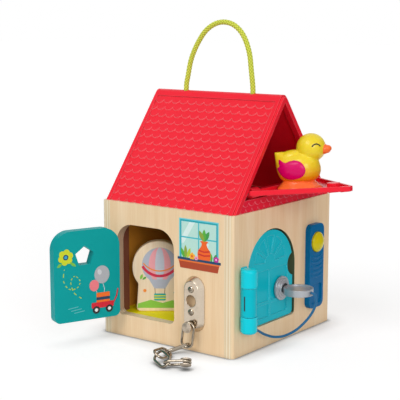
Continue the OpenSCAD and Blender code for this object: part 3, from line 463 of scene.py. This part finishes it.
def layRoute(points, step):
    knots = [Vector(p) for p in points]
    knots = [2 * knots[0] - knots[1]] + knots + [2 * knots[-1] - knots[-2]]
    dense = []
    for a, b, c, d in zip(knots, knots[1:], knots[2:], knots[3:]):
        dense += [between(a, b, c, d, k / spanSteps) for k in range(spanSteps)]
    dense.append(knots[-2].copy())
    runs = [0.0]
    for a, b in zip(dense, dense[1:]):
        runs.append(runs[-1] + (b - a).length)
    count = max(2, round(runs[-1] / step))
    even, j = [], 0
    for i in range(count + 1):
        goal = runs[-1] * i / count
        while j < len(runs) - 2 and runs[j + 1] < goal:
            j += 1
        share = (goal - runs[j]) / max(runs[j + 1] - runs[j], 1e-12)
        even.append(dense[j].lerp(dense[j + 1], min(max(share, 0), 1)))
    return even, runs[-1]


def sweep(name, route, sides, shape):
    # shape(angle, run) gives the radius and a tone from 0 to 1; the braid finish paints shade in the
    # grooves where the tone is low
    mesh = bpy.data.meshes.new(name)
    verts, grooveShades, faces = [], [], []
    ahead = (route[1] - route[0]).normalized()
    across = ahead.orthogonal().normalized()
    run = 0.0
    for i, centre in enumerate(route):
        now = (route[min(i + 1, len(route) - 1)] - route[max(i - 1, 0)]).normalized()
        across = (ahead.rotation_difference(now) @ across).normalized()
        across = (across - now * across.dot(now)).normalized()
        ahead = now
        side = now.cross(across)
        run += (centre - route[max(i - 1, 0)]).length
        for k in range(sides):
            angle = 2 * math.pi * k / sides
            radius, tone = shape(angle, run)
            verts.append(centre + radius * (math.cos(angle) * across + math.sin(angle) * side))
            grooveShades.append(tone)
    for i in range(len(route) - 1):
        for k in range(sides):
            a, b = i * sides + k, i * sides + (k + 1) % sides
            faces.append((a, b, b + sides, a + sides))
    faces.append(tuple(reversed(range(sides))))
    faces.append(tuple(range((len(route) - 1) * sides, len(route) * sides)))
    mesh.from_pydata(verts, [], faces)
    mark = mesh.attributes.new("grooveShade", "FLOAT", "POINT")
    mark.data.foreach_set("value", grooveShades)
    return mesh


def plainWire(radiusMm):
    return lambda angle, run: (radiusMm * mm, 1.0)


def plaited(radiusMm, yarn):
    def shape(angle, run):
        turn = yarn["strands"] * angle / (2 * math.pi)
        left, right = turn + run / (yarn["layMm"] * mm), turn - run / (yarn["layMm"] * mm)
        over = (math.floor(left) + math.floor(right)) % 2 == 0
        wide, long = (left, right) if over else (right, left)
        crown = math.sqrt(max(0.0, 1 - (2 * (wide % 1) - 1) ** 2))
        bulge = crown * math.sin(math.pi * (long % 1)) ** 0.5
        return radiusMm * mm * (1 - yarn["depth"] + yarn["depth"] * bulge), bulge
    return shape


rope = {  # route of the handle, from knot to knot, in mm
    "route": [(-38, 0, 211.9), (-38, 0, 227.05), (-36.1, 0, 236.15), (-33.06, 0, 249.15),
              (-28.88, 0, 259.15), (-22.8, 0, 269.15), (-15.2, 0, 278.15), (-5.32, 0, 284.15),
              (4.94, 0, 286.15), (15.2, 0, 284.15), (23.94, 0, 278.15), (30.02, 0, 269.15),
              (34.2, 0, 257.15), (36.1, 0, 243.15), (38, 0, 227.05), (38, 0, 211.9)],
    "diameter": 5, "strands": 5, "layMm": 3.0, "depth": 0.24, "sides": 40, "stepMm": 0.24,
}
ropeLine, ropeLength = layRoute([Vector(p) * mm for p in rope["route"]], rope["stepMm"] * mm)
ropeMesh = sweep("ropeHandle", ropeLine, rope["sides"], plaited(rope["diameter"] / 2, rope))
handle = newPiece("ropeHandle", ropeMesh, "house", [finishes["rope"]])
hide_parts("rope_handle")
knot = {
    "spanMm": 76, "heightMm": 208.9, "coilMm": 3.0, "turns": 2.25, "riseMm": 5.4, "ropeMm": 2.3,
    "points": 30, "sides": 32, "stepMm": 0.3,
}
for side, label in ((-1, "ropeKnotLeft"), (1, "ropeKnotRight")):
    base = Vector((side * knot["spanMm"] / 2, 0, knot["heightMm"] - knot["riseMm"] / 2)) * mm
    turns = []
    for i in range(knot["points"] + 1):
        a = 2 * math.pi * knot["turns"] * i / knot["points"]
        rise = knot["riseMm"] * a / (2 * math.pi * knot["turns"])
        x, y = math.cos(a) * knot["coilMm"], math.sin(a) * knot["coilMm"]
        turns.append(base + Vector((x, y, rise)) * mm)
    knotLine, _ = layRoute(turns, knot["stepMm"] * mm)
    knotMesh = sweep(label, knotLine, knot["sides"], plaited(knot["ropeMm"], rope))
    newPiece(label, knotMesh, "house", [finishes["rope"]])
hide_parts("rope_knots")

cord = {  # route of the key cord, from the key's tip to the hinge bracket, in mm
    "tip": (104.9, -3.3, 48.3), "hole": (79.0, -63.5, 24.0),
    "fall": [(-3, 0, 0), (1, 0, 0), (4, 0.3, -2), (5, 0.3, -7), (4, -0.7, -13), (1, -2.7, -20),
             (-3, -7.7, -27), (-8, -13.7, -33)],
    "rise": [(12, 38.5, -12.5), (7, 30.5, -12.5), (3, 21.5, -9), (1, 13.5, -4), (0, 7.5, -1),
             (0, 3.5, 0), (0, 0.5, 0)],
    "diameter": 2.4, "strands": 5, "layMm": 1.3, "depth": 0.16, "sides": 24, "stepMm": 0.2,
}
cordStops = [Vector(cord["tip"]) + Vector(p) for p in cord["fall"]]
cordStops += [Vector(cord["hole"]) + Vector(p) for p in cord["rise"]]
cordLine, cordLength = layRoute([p * mm for p in cordStops], cord["stepMm"] * mm)
cordMesh = sweep("keyCord", cordLine, cord["sides"], plaited(cord["diameter"] / 2, cord))
tether = newPiece("keyCord", cordMesh, None, [finishes["cord"]])
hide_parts("key_cord")
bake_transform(tether)
print("rope", round(ropeLength / mm, 1), "mm, cord", round(cordLength / mm, 1), "mm")

spring = {
    "backX": 67.45, "frontX": 71.65, "y": 47.6, "z": 83.4, "radius": 6, "turns": 3, "wire": 0.8,
    "points": 36, "sides": 10, "stepMm": 0.6,
}
coil = []
for i in range(spring["points"] + 1):
    a = math.radians(360 * spring["turns"] * i / spring["points"])
    x = spring["backX"] + (spring["frontX"] - spring["backX"]) * i / spring["points"]
    y = spring["y"] + spring["radius"] * math.cos(a)
    coil.append(Vector((x, y, spring["z"] + spring["radius"] * math.sin(a))) * mm)
coilLine, _ = layRoute(coil, spring["stepMm"] * mm)
coilMesh = sweep("bellCoil", coilLine, spring["sides"], plainWire(spring["wire"] / 2))
bellCoil = newPiece("bellCoil", coilMesh, "house", [finishes["steel"]])
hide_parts("bell_spring")
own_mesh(bellCoil)


# Duck, in its own frame: x towards the beak, z up from the flap's floor

perch = {  # the flap's hinge and tilt, and where the duck stands on it, in metres and degrees
    "hinge": (0.0705, 0, 0.1408), "tilt": -3.5,
    "spot": (0.024, -0.007, -0.00044), "turn": 32, "scale": 0.97,
}
flapFrame = Matrix.Translation(perch["hinge"]) @ Matrix.Rotation(math.radians(perch["tilt"]), 4, "Y")
duckFrame = (flapFrame @ Matrix.Translation(perch["spot"])
             @ Matrix.Rotation(math.radians(perch["turn"]), 4, "Z") @ Matrix.Scale(perch["scale"], 4))
duck = {
    # height, rear, front, half width: level cuts through the bowl-shaped body, in mm
    "cuts": [(7.6, -15.5, 12.5, 10.5), (9, -17.4, 15.5, 12.4), (12, -19.2, 17.8, 14.4),
             (16, -20.6, 19.1, 15.6), (20, -21.3, 18.9, 15.9), (24, -21.7, 17.8, 15.2),
             (28, -22.0, 16, 13.2), (31, -22.3, 14, 10.4), (33, -22.7, 11, 7.5), (34, -22.9, 6, 4)],
    "around": 64, "tailFrom": 22, "tailSpan": 12, "tailPinch": 0.75, "tailPower": 1.5,
    "head": (10.8, 37.0, 13.3), "headSquash": 0.98, "back": ((-4.0, 0, 30.0), (26, 17, 11.4)),
    "glance": -14, "voxelMm": 0.55, "smoothing": 9,
}


def meld(name, bm, voxelMm, rounds):
    raw = finishMesh(name + "Raw", bm)
    obj = bpy.data.objects.new(name + "Raw", raw)
    scene.collection.objects.link(obj)
    remesh = obj.modifiers.new("remesh", "REMESH")
    remesh.mode = "VOXEL"
    remesh.voxel_size = voxelMm * mm
    smooth = obj.modifiers.new("smooth", "SMOOTH")
    smooth.factor = 0.5
    smooth.iterations = rounds
    mesh = bpy.data.meshes.new_from_object(obj.evaluated_get(bpy.context.evaluated_depsgraph_get()))
    bpy.data.objects.remove(obj)
    mesh.name = name
    return mesh


def bridge(bm, rows):
    for low, high in zip(rows, rows[1:]):
        for k in range(len(low)):
            after = (k + 1) % len(low)
            bm.faces.new((low[k], low[after], high[after], high[k]))


def loft(bm, rings):
    rows = [[bm.verts.new(Vector(p) * mm) for p in ring] for ring in rings]
    bridge(bm, rows)
    bm.faces.new(list(reversed(rows[0])))
    bm.faces.new(rows[-1])


def egg(bm, centre, size):
    place = Matrix.Translation(Vector(centre) * mm) @ Matrix.Diagonal((*[s * mm for s in size], 1))
    bmesh.ops.create_uvsphere(bm, u_segments=48, v_segments=32, radius=0.5, matrix=place)


def closedCurve(points, count):
    loop, n = [], len(points)
    for i in range(n):
        a, b, c, d = [Vector(points[(i + k) % n]) for k in (-1, 0, 1, 2)]
        loop += [between(a, b, c, d, k / count) for k in range(count)]
    return loop


bm = bmesh.new()
rings = []
for height, rear, front, half in duck["cuts"]:
    middle, ring = front - half, []
    # The rear draws to a point as it rises
    tail = max(0.0, (height - duck["tailFrom"]) / duck["tailSpan"])
    for k in range(duck["around"]):
        a = 2 * math.pi * k / duck["around"]
        reach = half if math.cos(a) > 0 else middle - rear
        pinch = 1 - duck["tailPinch"] * tail * max(0.0, -math.cos(a)) ** duck["tailPower"]
        ring.append((middle + reach * math.cos(a), half * math.sin(a) * pinch, height))
    rings.append(ring)
loft(bm, rings)
headX, headZ, headR = duck["head"]
egg(bm, (headX, 0, headZ), (2 * headR, 2 * headR, 2 * headR * duck["headSquash"]))
egg(bm, *duck["back"])
bodyMesh = meld("duckBody", bm, duck["voxelMm"], duck["smoothing"])
surface = BVHTree.FromPolygons([v.co for v in bodyMesh.vertices], [p.vertices for p in bodyMesh.polygons])

wing = {  # outline from the photographed side, in mm, with two swept tips at the rear
    "outline": [(5.4, 17.4), (4.4, 22.0), (1.0, 25.8), (-4.0, 27.4), (-9.0, 26.6), (-12.6, 25.2),
                (-15.2, 26.0), (-18.6, 28.0), (-19.2, 24.6), (-18.6, 21.8), (-20.6, 19.6), (-19.2, 16.2),
                (-16.4, 12.6), (-12.2, 10.0), (-7.0, 9.2), (-1.8, 10.2), (3.0, 12.8)],
    "hub": (-7.5, 17.8), "riseMm": 1.15, "tuckMm": -0.35, "fullness": 0.985, "rows": 12, "curveSteps": 5,
    "castMm": 40, "coreMm": 3,
}
wingMeshes = {}
for side, label in ((-1, "duckWingRight"), (1, "duckWingLeft")):
    bm = bmesh.new()
    hub = Vector(wing["hub"])
    outline = closedCurve(wing["outline"], wing["curveSteps"])
    rows = []
    for row in range(wing["rows"] + 1):
        share = 1 - row / wing["rows"]
        rise = wing["riseMm"] * math.sqrt(1 - (share * wing["fullness"]) ** 4) if row else wing["tuckMm"]
        ring = []
        for p in outline:
            spot = hub + (Vector(p) - hub) * share
            start = Vector((spot.x, side * wing["castMm"], spot.y)) * mm
            hit, normal, _, _ = surface.ray_cast(start, Vector((0, -side, 0)))
            if hit is None:
                core = Vector((spot.x, side * wing["coreMm"], spot.y)) * mm
                hit, normal, _, _ = surface.find_nearest(core)
            ring.append(bm.verts.new(hit + normal * rise * mm))
        rows.append(ring)
    bridge(bm, rows[:-1])
    bm.faces.new(rows[-2])
    bmesh.ops.delete(bm, geom=rows[-1], context="VERTS")
    wingMeshes[label] = finishMesh(label, bm, duckFrame)

beak = {  # centre and size of three melded eggs, in mm
    "eggs": [((22.6, 0, 35.4), (9.0, 10.6, 9.4)), ((25.8, 0, 35.9), (7.6, 8.2, 6.4)),
             ((25.0, 0, 33.9), (6.8, 7.4, 4.6))],
    "voxelMm": 0.3, "smoothing": 9,
}
bm = bmesh.new()
for centre, size in beak["eggs"]:
    egg(bm, centre, size)
beakMesh = meld("duckBeak", bm, beak["voxelMm"], beak["smoothing"])
glance = (Matrix.Translation((headX * mm, 0, 0)) @ Matrix.Rotation(math.radians(duck["glance"]), 4, "Z")
          @ Matrix.Translation((-headX * mm, 0, 0)))
beakMesh.transform(glance)

foot = {  # height, half length: the flared skirt under the body, in mm
    "cuts": [(0, 20.4), (0.5, 21.0), (1.6, 20.8), (3, 19.0), (4.8, 16.9), (6.6, 15.2), (8.4, 14.1),
             (9.2, 12.6)],
    "x": -1, "width": 0.74, "toes": 7, "toeDepth": 0.045, "toeHeight": 6, "around": 72,
}
bm = bmesh.new()
rings = []
for height, reach in foot["cuts"]:
    spread = foot["toeDepth"] * max(0.0, 1 - height / foot["toeHeight"])
    ring = []
    for k in range(foot["around"]):
        a = 2 * math.pi * k / foot["around"]
        r = reach * (1 - spread + spread * math.cos(foot["toes"] * a))
        ring.append((foot["x"] + r * math.cos(a), foot["width"] * r * math.sin(a), height))
    rings.append(ring)
loft(bm, rings)
footMesh = finishMesh("duckFoot", bm, duckFrame)
for mesh in (bodyMesh, beakMesh):
    mesh.transform(duckFrame)
duckPieces = {
    "duckBody": (bodyMesh, "duck_yellow", "duckYellow", ["duck_body"]),
    "duckBeak": (beakMesh, "duck_orange", "duckOrange", ["duck_beak"]),
    "duckWingRight": (wingMeshes["duckWingRight"], "duck_magenta", "duckMagenta", ["duck_wings"]),
    "duckWingLeft": (wingMeshes["duckWingLeft"], "duck_magenta", "duckMagenta", []),
    "duckFoot": (footMesh, "duck_orange", "duckOrange", ["duck_foot_base"]),
}
for label, (mesh, slot, finish, stands) in duckPieces.items():
    piece = newPiece(label, mesh, "duck", [finishes[finish]])
    if stands:
        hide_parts(*stands)

eyelid = {  # an arched line on the side of the head, in mm
    "x": 14.8, "length": 6.4, "z": 38.6, "arch": 2.3, "roundness": 0.65, "proud": 0.05, "wire": 0.55,
    "points": 12, "sides": 10, "stepMm": 0.25,
}
for side, label in ((-1, "eyelidRight"), (1, "eyelidLeft")):
    lid = []
    for i in range(eyelid["points"] + 1):
        x = eyelid["x"] + eyelid["length"] * i / eyelid["points"]
        z = eyelid["z"] + eyelid["arch"] * math.sin(math.pi * i / eyelid["points"]) ** eyelid["roundness"]
        left = (headR + eyelid["proud"]) ** 2 - (x - headX) ** 2 - ((z - headZ) / duck["headSquash"]) ** 2
        lid.append(duckFrame @ glance @ (Vector((x, side * math.sqrt(max(0.0, left)), z)) * mm))
    lidLine, _ = layRoute(lid, eyelid["stepMm"] * mm)
    lidMesh = sweep(label, lidLine, eyelid["sides"], plainWire(eyelid["wire"]))
    newPiece(label, lidMesh, "duck", [finishes["duckEye"]])
print("duck made")


# Prints: thin raised shapes in mm, laid one over another

def arcPoints(x, y, r, a0, a1, count=16):
    steps = [math.radians(a0 + (a1 - a0) * k / count) for k in range(count + 1)]
    return [(x + r * math.cos(a), y + r * math.sin(a)) for a in steps]


def disc(x, y, rx, ry=None, count=36, turn=0.0):
    ry = rx if ry is None else ry
    c, s = math.cos(turn), math.sin(turn)
    angles = [2 * math.pi * k / count for k in range(count)]
    ring = [(rx * math.cos(a), ry * math.sin(a)) for a in angles]
    return [(x + a * c - b * s, y + a * s + b * c) for a, b in ring]


def block(x0, y0, x1, y1, r=0.0):
    if r <= 0:
        return [(x0, y0), (x1, y0), (x1, y1), (x0, y1)]
    corners = [(x1 - r, y0 + r, -90), (x1 - r, y1 - r, 0), (x0 + r, y1 - r, 90), (x0 + r, y0 + r, 180)]
    return [p for x, y, a in corners for p in arcPoints(x, y, r, a, a + 90, 6)]


def stroke(points, width):
    path = [Vector(p) for p in points]
    left, right = [], []
    for i, p in enumerate(path):
        d = (path[min(i + 1, len(path) - 1)] - path[max(i - 1, 0)]).normalized()
        left.append(p + Vector((-d.y, d.x)) * width / 2)
        right.append(p - Vector((-d.y, d.x)) * width / 2)
    return [tuple(p) for p in left + right[::-1]]


def leafShape(x, y, length, width, turn):
    side = [(length * k / 10, width / 2 * math.sin(math.pi * k / 10) ** 0.8) for k in range(11)]
    ring = side + [(a, -b) for a, b in side[-2:0:-1]]
    c, s = math.cos(math.radians(turn)), math.sin(math.radians(turn))
    return [(x + a * c - b * s, y + a * s + b * c) for a, b in ring]


def flower(x, y, r, petals, petalHex, heartHex):
    bloom = {"turn": 0.3, "out": 0.6, "petal": 0.42, "heart": 0.36, "count": 16}
    shapes = []
    for k in range(petals):
        a = 2 * math.pi * k / petals + bloom["turn"]
        spot = (x + bloom["out"] * r * math.cos(a), y + bloom["out"] * r * math.sin(a))
        shapes.append((disc(*spot, bloom["petal"] * r, count=bloom["count"]), petalHex))
    return shapes + [(disc(x, y, bloom["heart"] * r, count=bloom["count"]), heartHex)]


inkLayer = {"baseMm": 0.05, "stepMm": 0.012}


def layPrint(name, body, place, shapes):
    # place takes (across, up, out of the surface) in mm to the model
    bm = bmesh.new()
    pots = []
    for level, (points, hexText) in enumerate(shapes):
        ink = printInk(hexText)
        if ink not in pots:
            pots.append(ink)
        height = inkLayer["baseMm"] + inkLayer["stepMm"] * level
        top = [bm.verts.new(place @ (Vector((a, b, height)) * mm)) for a, b in points]
        low = [bm.verts.new(place @ (Vector((a, b, 0.0)) * mm)) for a, b in points]
        made = [bm.faces.new(top)]
        for k in range(len(top)):
            after = (k + 1) % len(top)
            made.append(bm.faces.new((top[k], low[k], low[after], top[after])))
        for face in made:
            face.material_index = pots.index(ink)
    mesh = finishMesh(name, bm)
    newPiece(name, mesh, body, pots)
    for face in mesh.polygons:
        face.use_smooth = False


def surfaceFrame(origin, across, up):
    across, up = Vector(across), Vector(up)
    out = across.cross(up)
    turned = Matrix((across, up, out)).transposed().to_4x4()
    return Matrix.Translation(Vector(origin) * mm) @ turned


windowPrint = {
    "left": 16, "right": 59, "low": 83, "high": 118, "rim": 1.1, "rail": 2.6, "bar": 0.6,
    "sill": (14.4, 81.2, 61.3, 83.4), "trough": (17.4, 73.8, 58.0, 81.2), "flare": 2, "lip": 79.8,
    "jar": [(38.6, 82.6), (48.4, 82.6), (50.4, 86.5), (50.2, 91), (47, 95), (46.2, 98), (47.6, 100),
            (39.4, 100), (40.8, 98), (40, 95), (36.8, 91), (36.6, 86.5)],
    # x, length, turn and colour of the leaves behind the sill, then turn and colour of the jar's
    "leaves": [(22, 10, 112, "#57B23B"), (23.4, 12, 92, "#8FA83A"), (24.8, 10.5, 70, "#B9CF35"),
               (51.5, 8.5, 100, "#57B23B"), (54, 8, 72, "#3E9E4A")],
    "jarLeaves": [(60, "#3E9E4A"), (90, "#57B23B"), (120, "#8FA83A")],
    "flowers": [(30.4, 85.4, 3.2, "#FBB22B", "#E8641E"), (35, 84.2, 2.0, "#F2A9C4", "#D9588F"),
                (56.6, 85.6, 2.6, "#C61B9C", "#F3C3E4")],
}
w = windowPrint
midX, midZ = (w["left"] + w["right"]) / 2, (w["low"] + w["high"]) / 2 + 1
inLeft, inRight, inHigh = w["left"] + w["rail"], w["right"] - w["rail"], w["high"] - w["rail"]
shapes = [
    (block(w["left"], w["low"], w["right"], w["high"]), "#6FD2DC"),
    (block(w["left"] + w["rim"], w["low"], w["right"] - w["rim"], w["high"] - w["rim"]), "#12A6B6"),
    (block(inLeft, w["low"], inRight, inHigh), "#BDE5DA"),
    ([(21, 96), (33.5, 115.4), (27.5, 115.4), (18.6, 101.4), (18.6, 96)], "#DDF3EE"),
    ([(40, 84), (49, 98), (45.6, 98), (38, 86.2)], "#DDF3EE"),
    (block(midX - w["bar"], w["low"], midX + w["bar"], inHigh), "#3FBFCB"),
    (block(inLeft, midZ - w["bar"], inRight, midZ + w["bar"]), "#3FBFCB"),
]
for x, length, turn, hexText in w["leaves"]:
    shapes.append((leafShape(x, 82.5, length, 3.4, turn), hexText))
shapes += [
    ([tuple(p) for p in closedCurve(w["jar"], 3)], "#F4661C"),
    (stroke([(37, 88.2), (43.5, 87.2), (50, 88.2)], 1.3), "#D22A1E"),
    (stroke([(37.2, 91.6), (43.5, 90.6), (49.8, 91.6)], 1.3), "#D22A1E"),
]
for turn, hexText in w["jarLeaves"]:
    shapes.append((leafShape(43.5, 99.5, 11, 4, turn), hexText))
x0, z0, x1, z1 = w["trough"]
shapes += [
    (block(*w["sill"]), "#0B4469"),
    ([(x0 - w["flare"], z1), (x0, z0), (x1, z0), (x1 + w["flare"], z1)], "#B2431E"),
    (block(x0 - w["flare"], w["lip"], x1 + w["flare"], z1), "#E8722C"),
]
for x, z, r, petalHex, heartHex in w["flowers"]:
    shapes += flower(x, z, r, 5, petalHex, heartHex)
layPrint("windowPrint", "house", surfaceFrame((0, -80, 0), (1, 0, 0), (0, 0, 1)), shapes)

doorPrint = {
    "hinge": (-0.057, -0.082, 0), "turn": -112,
    # a trail of short dashes: its curve, the points in a dash and from one dash to the next
    "trail": [(-56, 70), (-57, 60), (-52, 52), (-44, 52), (-41, 58), (-46, 63), (-50, 58), (-47, 48),
              (-40, 42), (-60, 55)],
    "trailSteps": 12, "trailEnd": 92, "dash": 4, "pitch": 6, "dashWidth": 0.75, "wheels": (-25.5, -12.5),
}
doorTurn = Matrix.Rotation(math.radians(doorPrint["turn"]), 4, "Z")
doorFace = surfaceFrame((0, 11, 0), (-1, 0, 0), (0, 0, 1))
doorPlace = Matrix.Translation(doorPrint["hinge"]) @ doorTurn @ doorFace
shapes = []
for k in range(3):
    shapes.append((stroke([(-53 + 3 * k, 33.5 - 2.2 * k), (-43 + 3 * k, 34.6 - 2.2 * k)], 0.6), "#5FBDBD"))
trail = closedCurve(doorPrint["trail"], doorPrint["trailSteps"])
for k in range(0, doorPrint["trailEnd"], doorPrint["pitch"]):
    shapes.append((stroke(trail[k:k + doorPrint["dash"]], doorPrint["dashWidth"]), "#B7D22E"))
shapes += flower(-54.5, 81, 7.2, 6, "#D4DE1F", "#0F3C5A")
shapes += [
    (disc(-54.5, 81, 1.5), "#2FA8D8"),
    (leafShape(-50.5, 76.0, 7, 2.6, -35), "#7CC242"),
    (leafShape(-58.0, 76.0, 6, 2.4, 215), "#7CC242"),
    (stroke([(-18, 40), (-17, 48), (-19, 55)], 0.4), "#D8DCE0"),
    (stroke([(-22, 40), (-24, 44), (-25.6, 48)], 0.4), "#D8DCE0"),
    (disc(-19.4, 61.6, 7.4, 8.2), "#B4B7BD"),
    (disc(-21.8, 64.2, 2.0, 2.6, turn=0.4), "#D3D6DB"),
    (disc(-27.2, 52.2, 4.6, 5.2), "#F4808A"),
    (block(-25, 35, -12, 45, 0.8), "#F8701A"),
    (block(-25, 38.2, -12, 41), "#103A5A"),
    (block(-30, 31, -8, 36.2, 1.2), "#D8142E"),
    (stroke([(-8.4, 34), (-5, 40), (-3.6, 47)], 1.0), "#D8142E"),
]
for x in doorPrint["wheels"]:
    shapes += [(disc(x, 29.4, 3.5), "#17181A"), (disc(x, 29.4, 1.6), "#F2F2F2")]
layPrint("doorPrint", "front_door", doorPlace, shapes)

figurePrint = {"foot": (-0.0325, -0.0485, 0.020), "x": 0.5, "z": 44, "r": 16.5, "stretch": 1.02}
b = figurePrint
tall = b["r"] * b["stretch"]
figurePlace = (Matrix.Translation(b["foot"]) @ Matrix.Rotation(math.radians(figureTurn), 4, "Z")
               @ surfaceFrame((0, -5, 0), (1, 0, 0), (0, 0, 1)))
shapes = [
    ([(-20.5, 3.4), (20.5, 3.4), (20, 8.6), (12, 10.8), (3, 8.2), (-8, 11.2), (-20, 7.6)], "#86C440"),
    (disc(b["x"], b["z"], b["r"], tall, 48), "#B3B8C6"),
    (disc(b["x"], b["z"], b["r"] * 0.62, tall, 48), "#F0A3AA"),
    (disc(b["x"], b["z"], b["r"] * 0.26, tall, 48), "#C6CAD6"),
    ([(-9.5, 30.6), (10.5, 30.6), (5.5, 22), (-4.5, 22)], "#B3B8C6"),
    (stroke(arcPoints(b["x"], b["z"] + 8, 18.2, 209, 331), 2.6), "#D21F45"),
    (stroke(arcPoints(b["x"], b["z"] + 14, 19.4, 218, 322), 1.2), "#F28C28"),
    (stroke([(-4.2, 22.4), (-3.8, 17)], 0.5), "#6A4A2A"),
    (stroke([(5.2, 22.4), (4.8, 17)], 0.5), "#6A4A2A"),
    (block(-5, 10.5, 6, 17.2, 1.0), "#12A7A4"),
    (block(-5, 14.4, 6, 15.6), "#D9DE3A"),
    (block(-5, 12.0, 6, 13.2), "#D9DE3A"),
    (leafShape(-17.5, 30.5, 5.5, 2.4, 70), "#86C440"),
    (leafShape(-15.6, 30.5, 4.5, 2.0, 35), "#5BA83A"),
    (leafShape(15.5, 24.5, 5, 2.2, 100), "#86C440"),
    (disc(-13.5, 20, 1.5), "#F28C28"),
    (disc(14.5, 18, 1.2), "#12A7A4"),
]
layPrint("figurePrint", "figure_board", figurePlace, shapes)
print("prints laid")


# Small moulded details on the plastic door, and painted shade in its hinge gap

doorRing = {
    "x": 72.6, "y": -51.5, "heights": (37, 63), "radius": 2.6, "wire": 0.45, "points": 32, "sides": 10,
}
for label, height in zip(("doorRingLow", "doorRingHigh"), doorRing["heights"]):
    loop = []
    for k in range(doorRing["points"] + 1):
        a = 2 * math.pi * k / doorRing["points"]
        y, z = doorRing["y"] + doorRing["radius"] * math.cos(a), height + doorRing["radius"] * math.sin(a)
        loop.append(Vector((doorRing["x"], y, z)) * mm)
    ringMesh = sweep(label, loop, doorRing["sides"], plainWire(doorRing["wire"]))
    newPiece(label, ringMesh, "gable_door", [finishes["turquoiseAbs"]])
# a dark curved sheet in the hinge's knuckle gap: painted shade
gapShade = {"axis": (82.2, -67.5), "radius": 6.62, "from": 263, "to": 275, "low": 43, "high": 56}
bm = bmesh.new()
arc = arcPoints(*gapShade["axis"], gapShade["radius"], gapShade["from"], gapShade["to"], 6)
low, high = [[bm.verts.new(Vector((x, y, z)) * mm) for x, y in arc] for z in (gapShade["low"], gapShade["high"])]
for k in range(len(arc) - 1):
    bm.faces.new((low[k], low[k + 1], high[k + 1], high[k]))
newPiece("hingeGapShade", finishMesh("hingeGapShade", bm), "gable_door", [printInk("#0A3A42")])
print("details made")


# Stage

stage = {  # lengths in metres
    "half": 9.0, "near": "#BCBCBC", "bounce": "#E6E6E6", "under": "#5C5C5C", "lift": 0.63,
    "contact": 0.025, "touch": 0.005, "sky": 0.41,
}


def seenRays(mat):
    # 1 for a ray from the lens, straight or by way of a mirror or glass
    ray = addNode(mat, "ShaderNodeLightPath").outputs
    mirrored = calculate(mat, "MAXIMUM", ray["Is Glossy Ray"], ray["Is Transmission Ray"])
    return calculate(mat, "MAXIMUM", ray["Is Camera Ray"], mirrored)


def openness(mat, distance):
    occlusion = {"samples": 16, "Distance": distance}
    return addNode(mat, "ShaderNodeAmbientOcclusion", occlusion).outputs["AO"]


def flatPiece(name, corners, mat):
    bm = bmesh.new()
    bm.faces.new([bm.verts.new(p) for p in corners])
    mesh = finishMesh(name, bm)
    mesh.materials.append(mat)
    piece = bpy.data.objects.new(name, mesh)
    scene.collection.objects.link(piece)
    return piece


# Seamless white paper: matt, brighter to the lens than to the object. It keeps its shadow, and painted
# shade darkens it close to the object, most of all where the two touch
paper, paperShader = newFinish("whitePaper", {
    "Roughness": 0.9, "Specular IOR Level": 0.0, "Emission Color": (1, 1, 1, 1),
})
shown = seenRays(paper)
closeBy = openness(paper, stage["contact"])
touching = openness(paper, stage["touch"])
sheet = mixColour(paper, shown, stage["bounce"], stage["near"])
# painted contact shade: the colour darkens where the object nearly touches the paper
sheet = mixColour(paper, remap(paper, touching, (0.5, 1)), stage["under"], sheet)
lit = calculate(paper, "MULTIPLY", shown, calculate(paper, "MULTIPLY", closeBy, touching))
glow = remap(paper, lit, target=(0, stage["lift"]))
feed(paper, paperShader, {"Base Color": sheet, "Emission Strength": glow})
h = stage["half"]
floor = flatPiece("floor", ((-h, -h, 0), (h, -h, 0), (h, h, 0), (-h, h, 0)), paper)

# Dark grey cards on both sides, seen only in reflections, give bright metal and gloss their dark edges
card, _ = newFinish("greyCard", {
    "Base Color": linear("#6A6A6A"), "Roughness": 0.95, "Specular IOR Level": 0.0,
})
cards = {"across": (0.8, 0.6, 0), "reach": 0.4, "half": 0.36, "tall": 0.36}
for label, side in (("leftCard", -1), ("rightCard", 1)):
    across = Vector(cards["across"]) * side
    along = Vector((-across.y, across.x, 0)) * cards["half"]
    spots = ((-1, 0), (1, 0), (1, cards["tall"]), (-1, cards["tall"]))
    corners = [across * cards["reach"] + along * s + Vector((0, 0, z)) for s, z in spots]
    cardPiece = flatPiece(label, corners, card)
    cardPiece.visible_camera = False
    cardPiece.visible_diffuse = False
    cardPiece.visible_shadow = False

world = bpy.data.worlds.new("studio")
scene.world = world
world.use_nodes = True
back = world.node_tree.nodes["Background"]
back.inputs["Color"].default_value = (1, 1, 1, 1)
feed(world, back, {"Strength": remap(world, seenRays(world), target=(stage["sky"], 1))})

lamps = {  # where each lamp shines from, its width in degrees and its strength
    "keyLight": {"from": (-0.05, -0.72, 0.69), "wide": 30, "strength": 1.06},
    "fillLight": {"from": (0.74, -0.58, 0.34), "wide": 30, "strength": 1.08},
}
for label, lamp in lamps.items():
    data = bpy.data.lights.new(label, "SUN")
    data.angle = math.radians(lamp["wide"])
    data.energy = lamp["strength"]
    light = bpy.data.objects.new(label, data)
    light.location = lamp["from"]
    light.rotation_euler = (-Vector(lamp["from"])).to_track_quat("-Z", "Y").to_euler()
    scene.collection.objects.link(light)
print("stage lit")
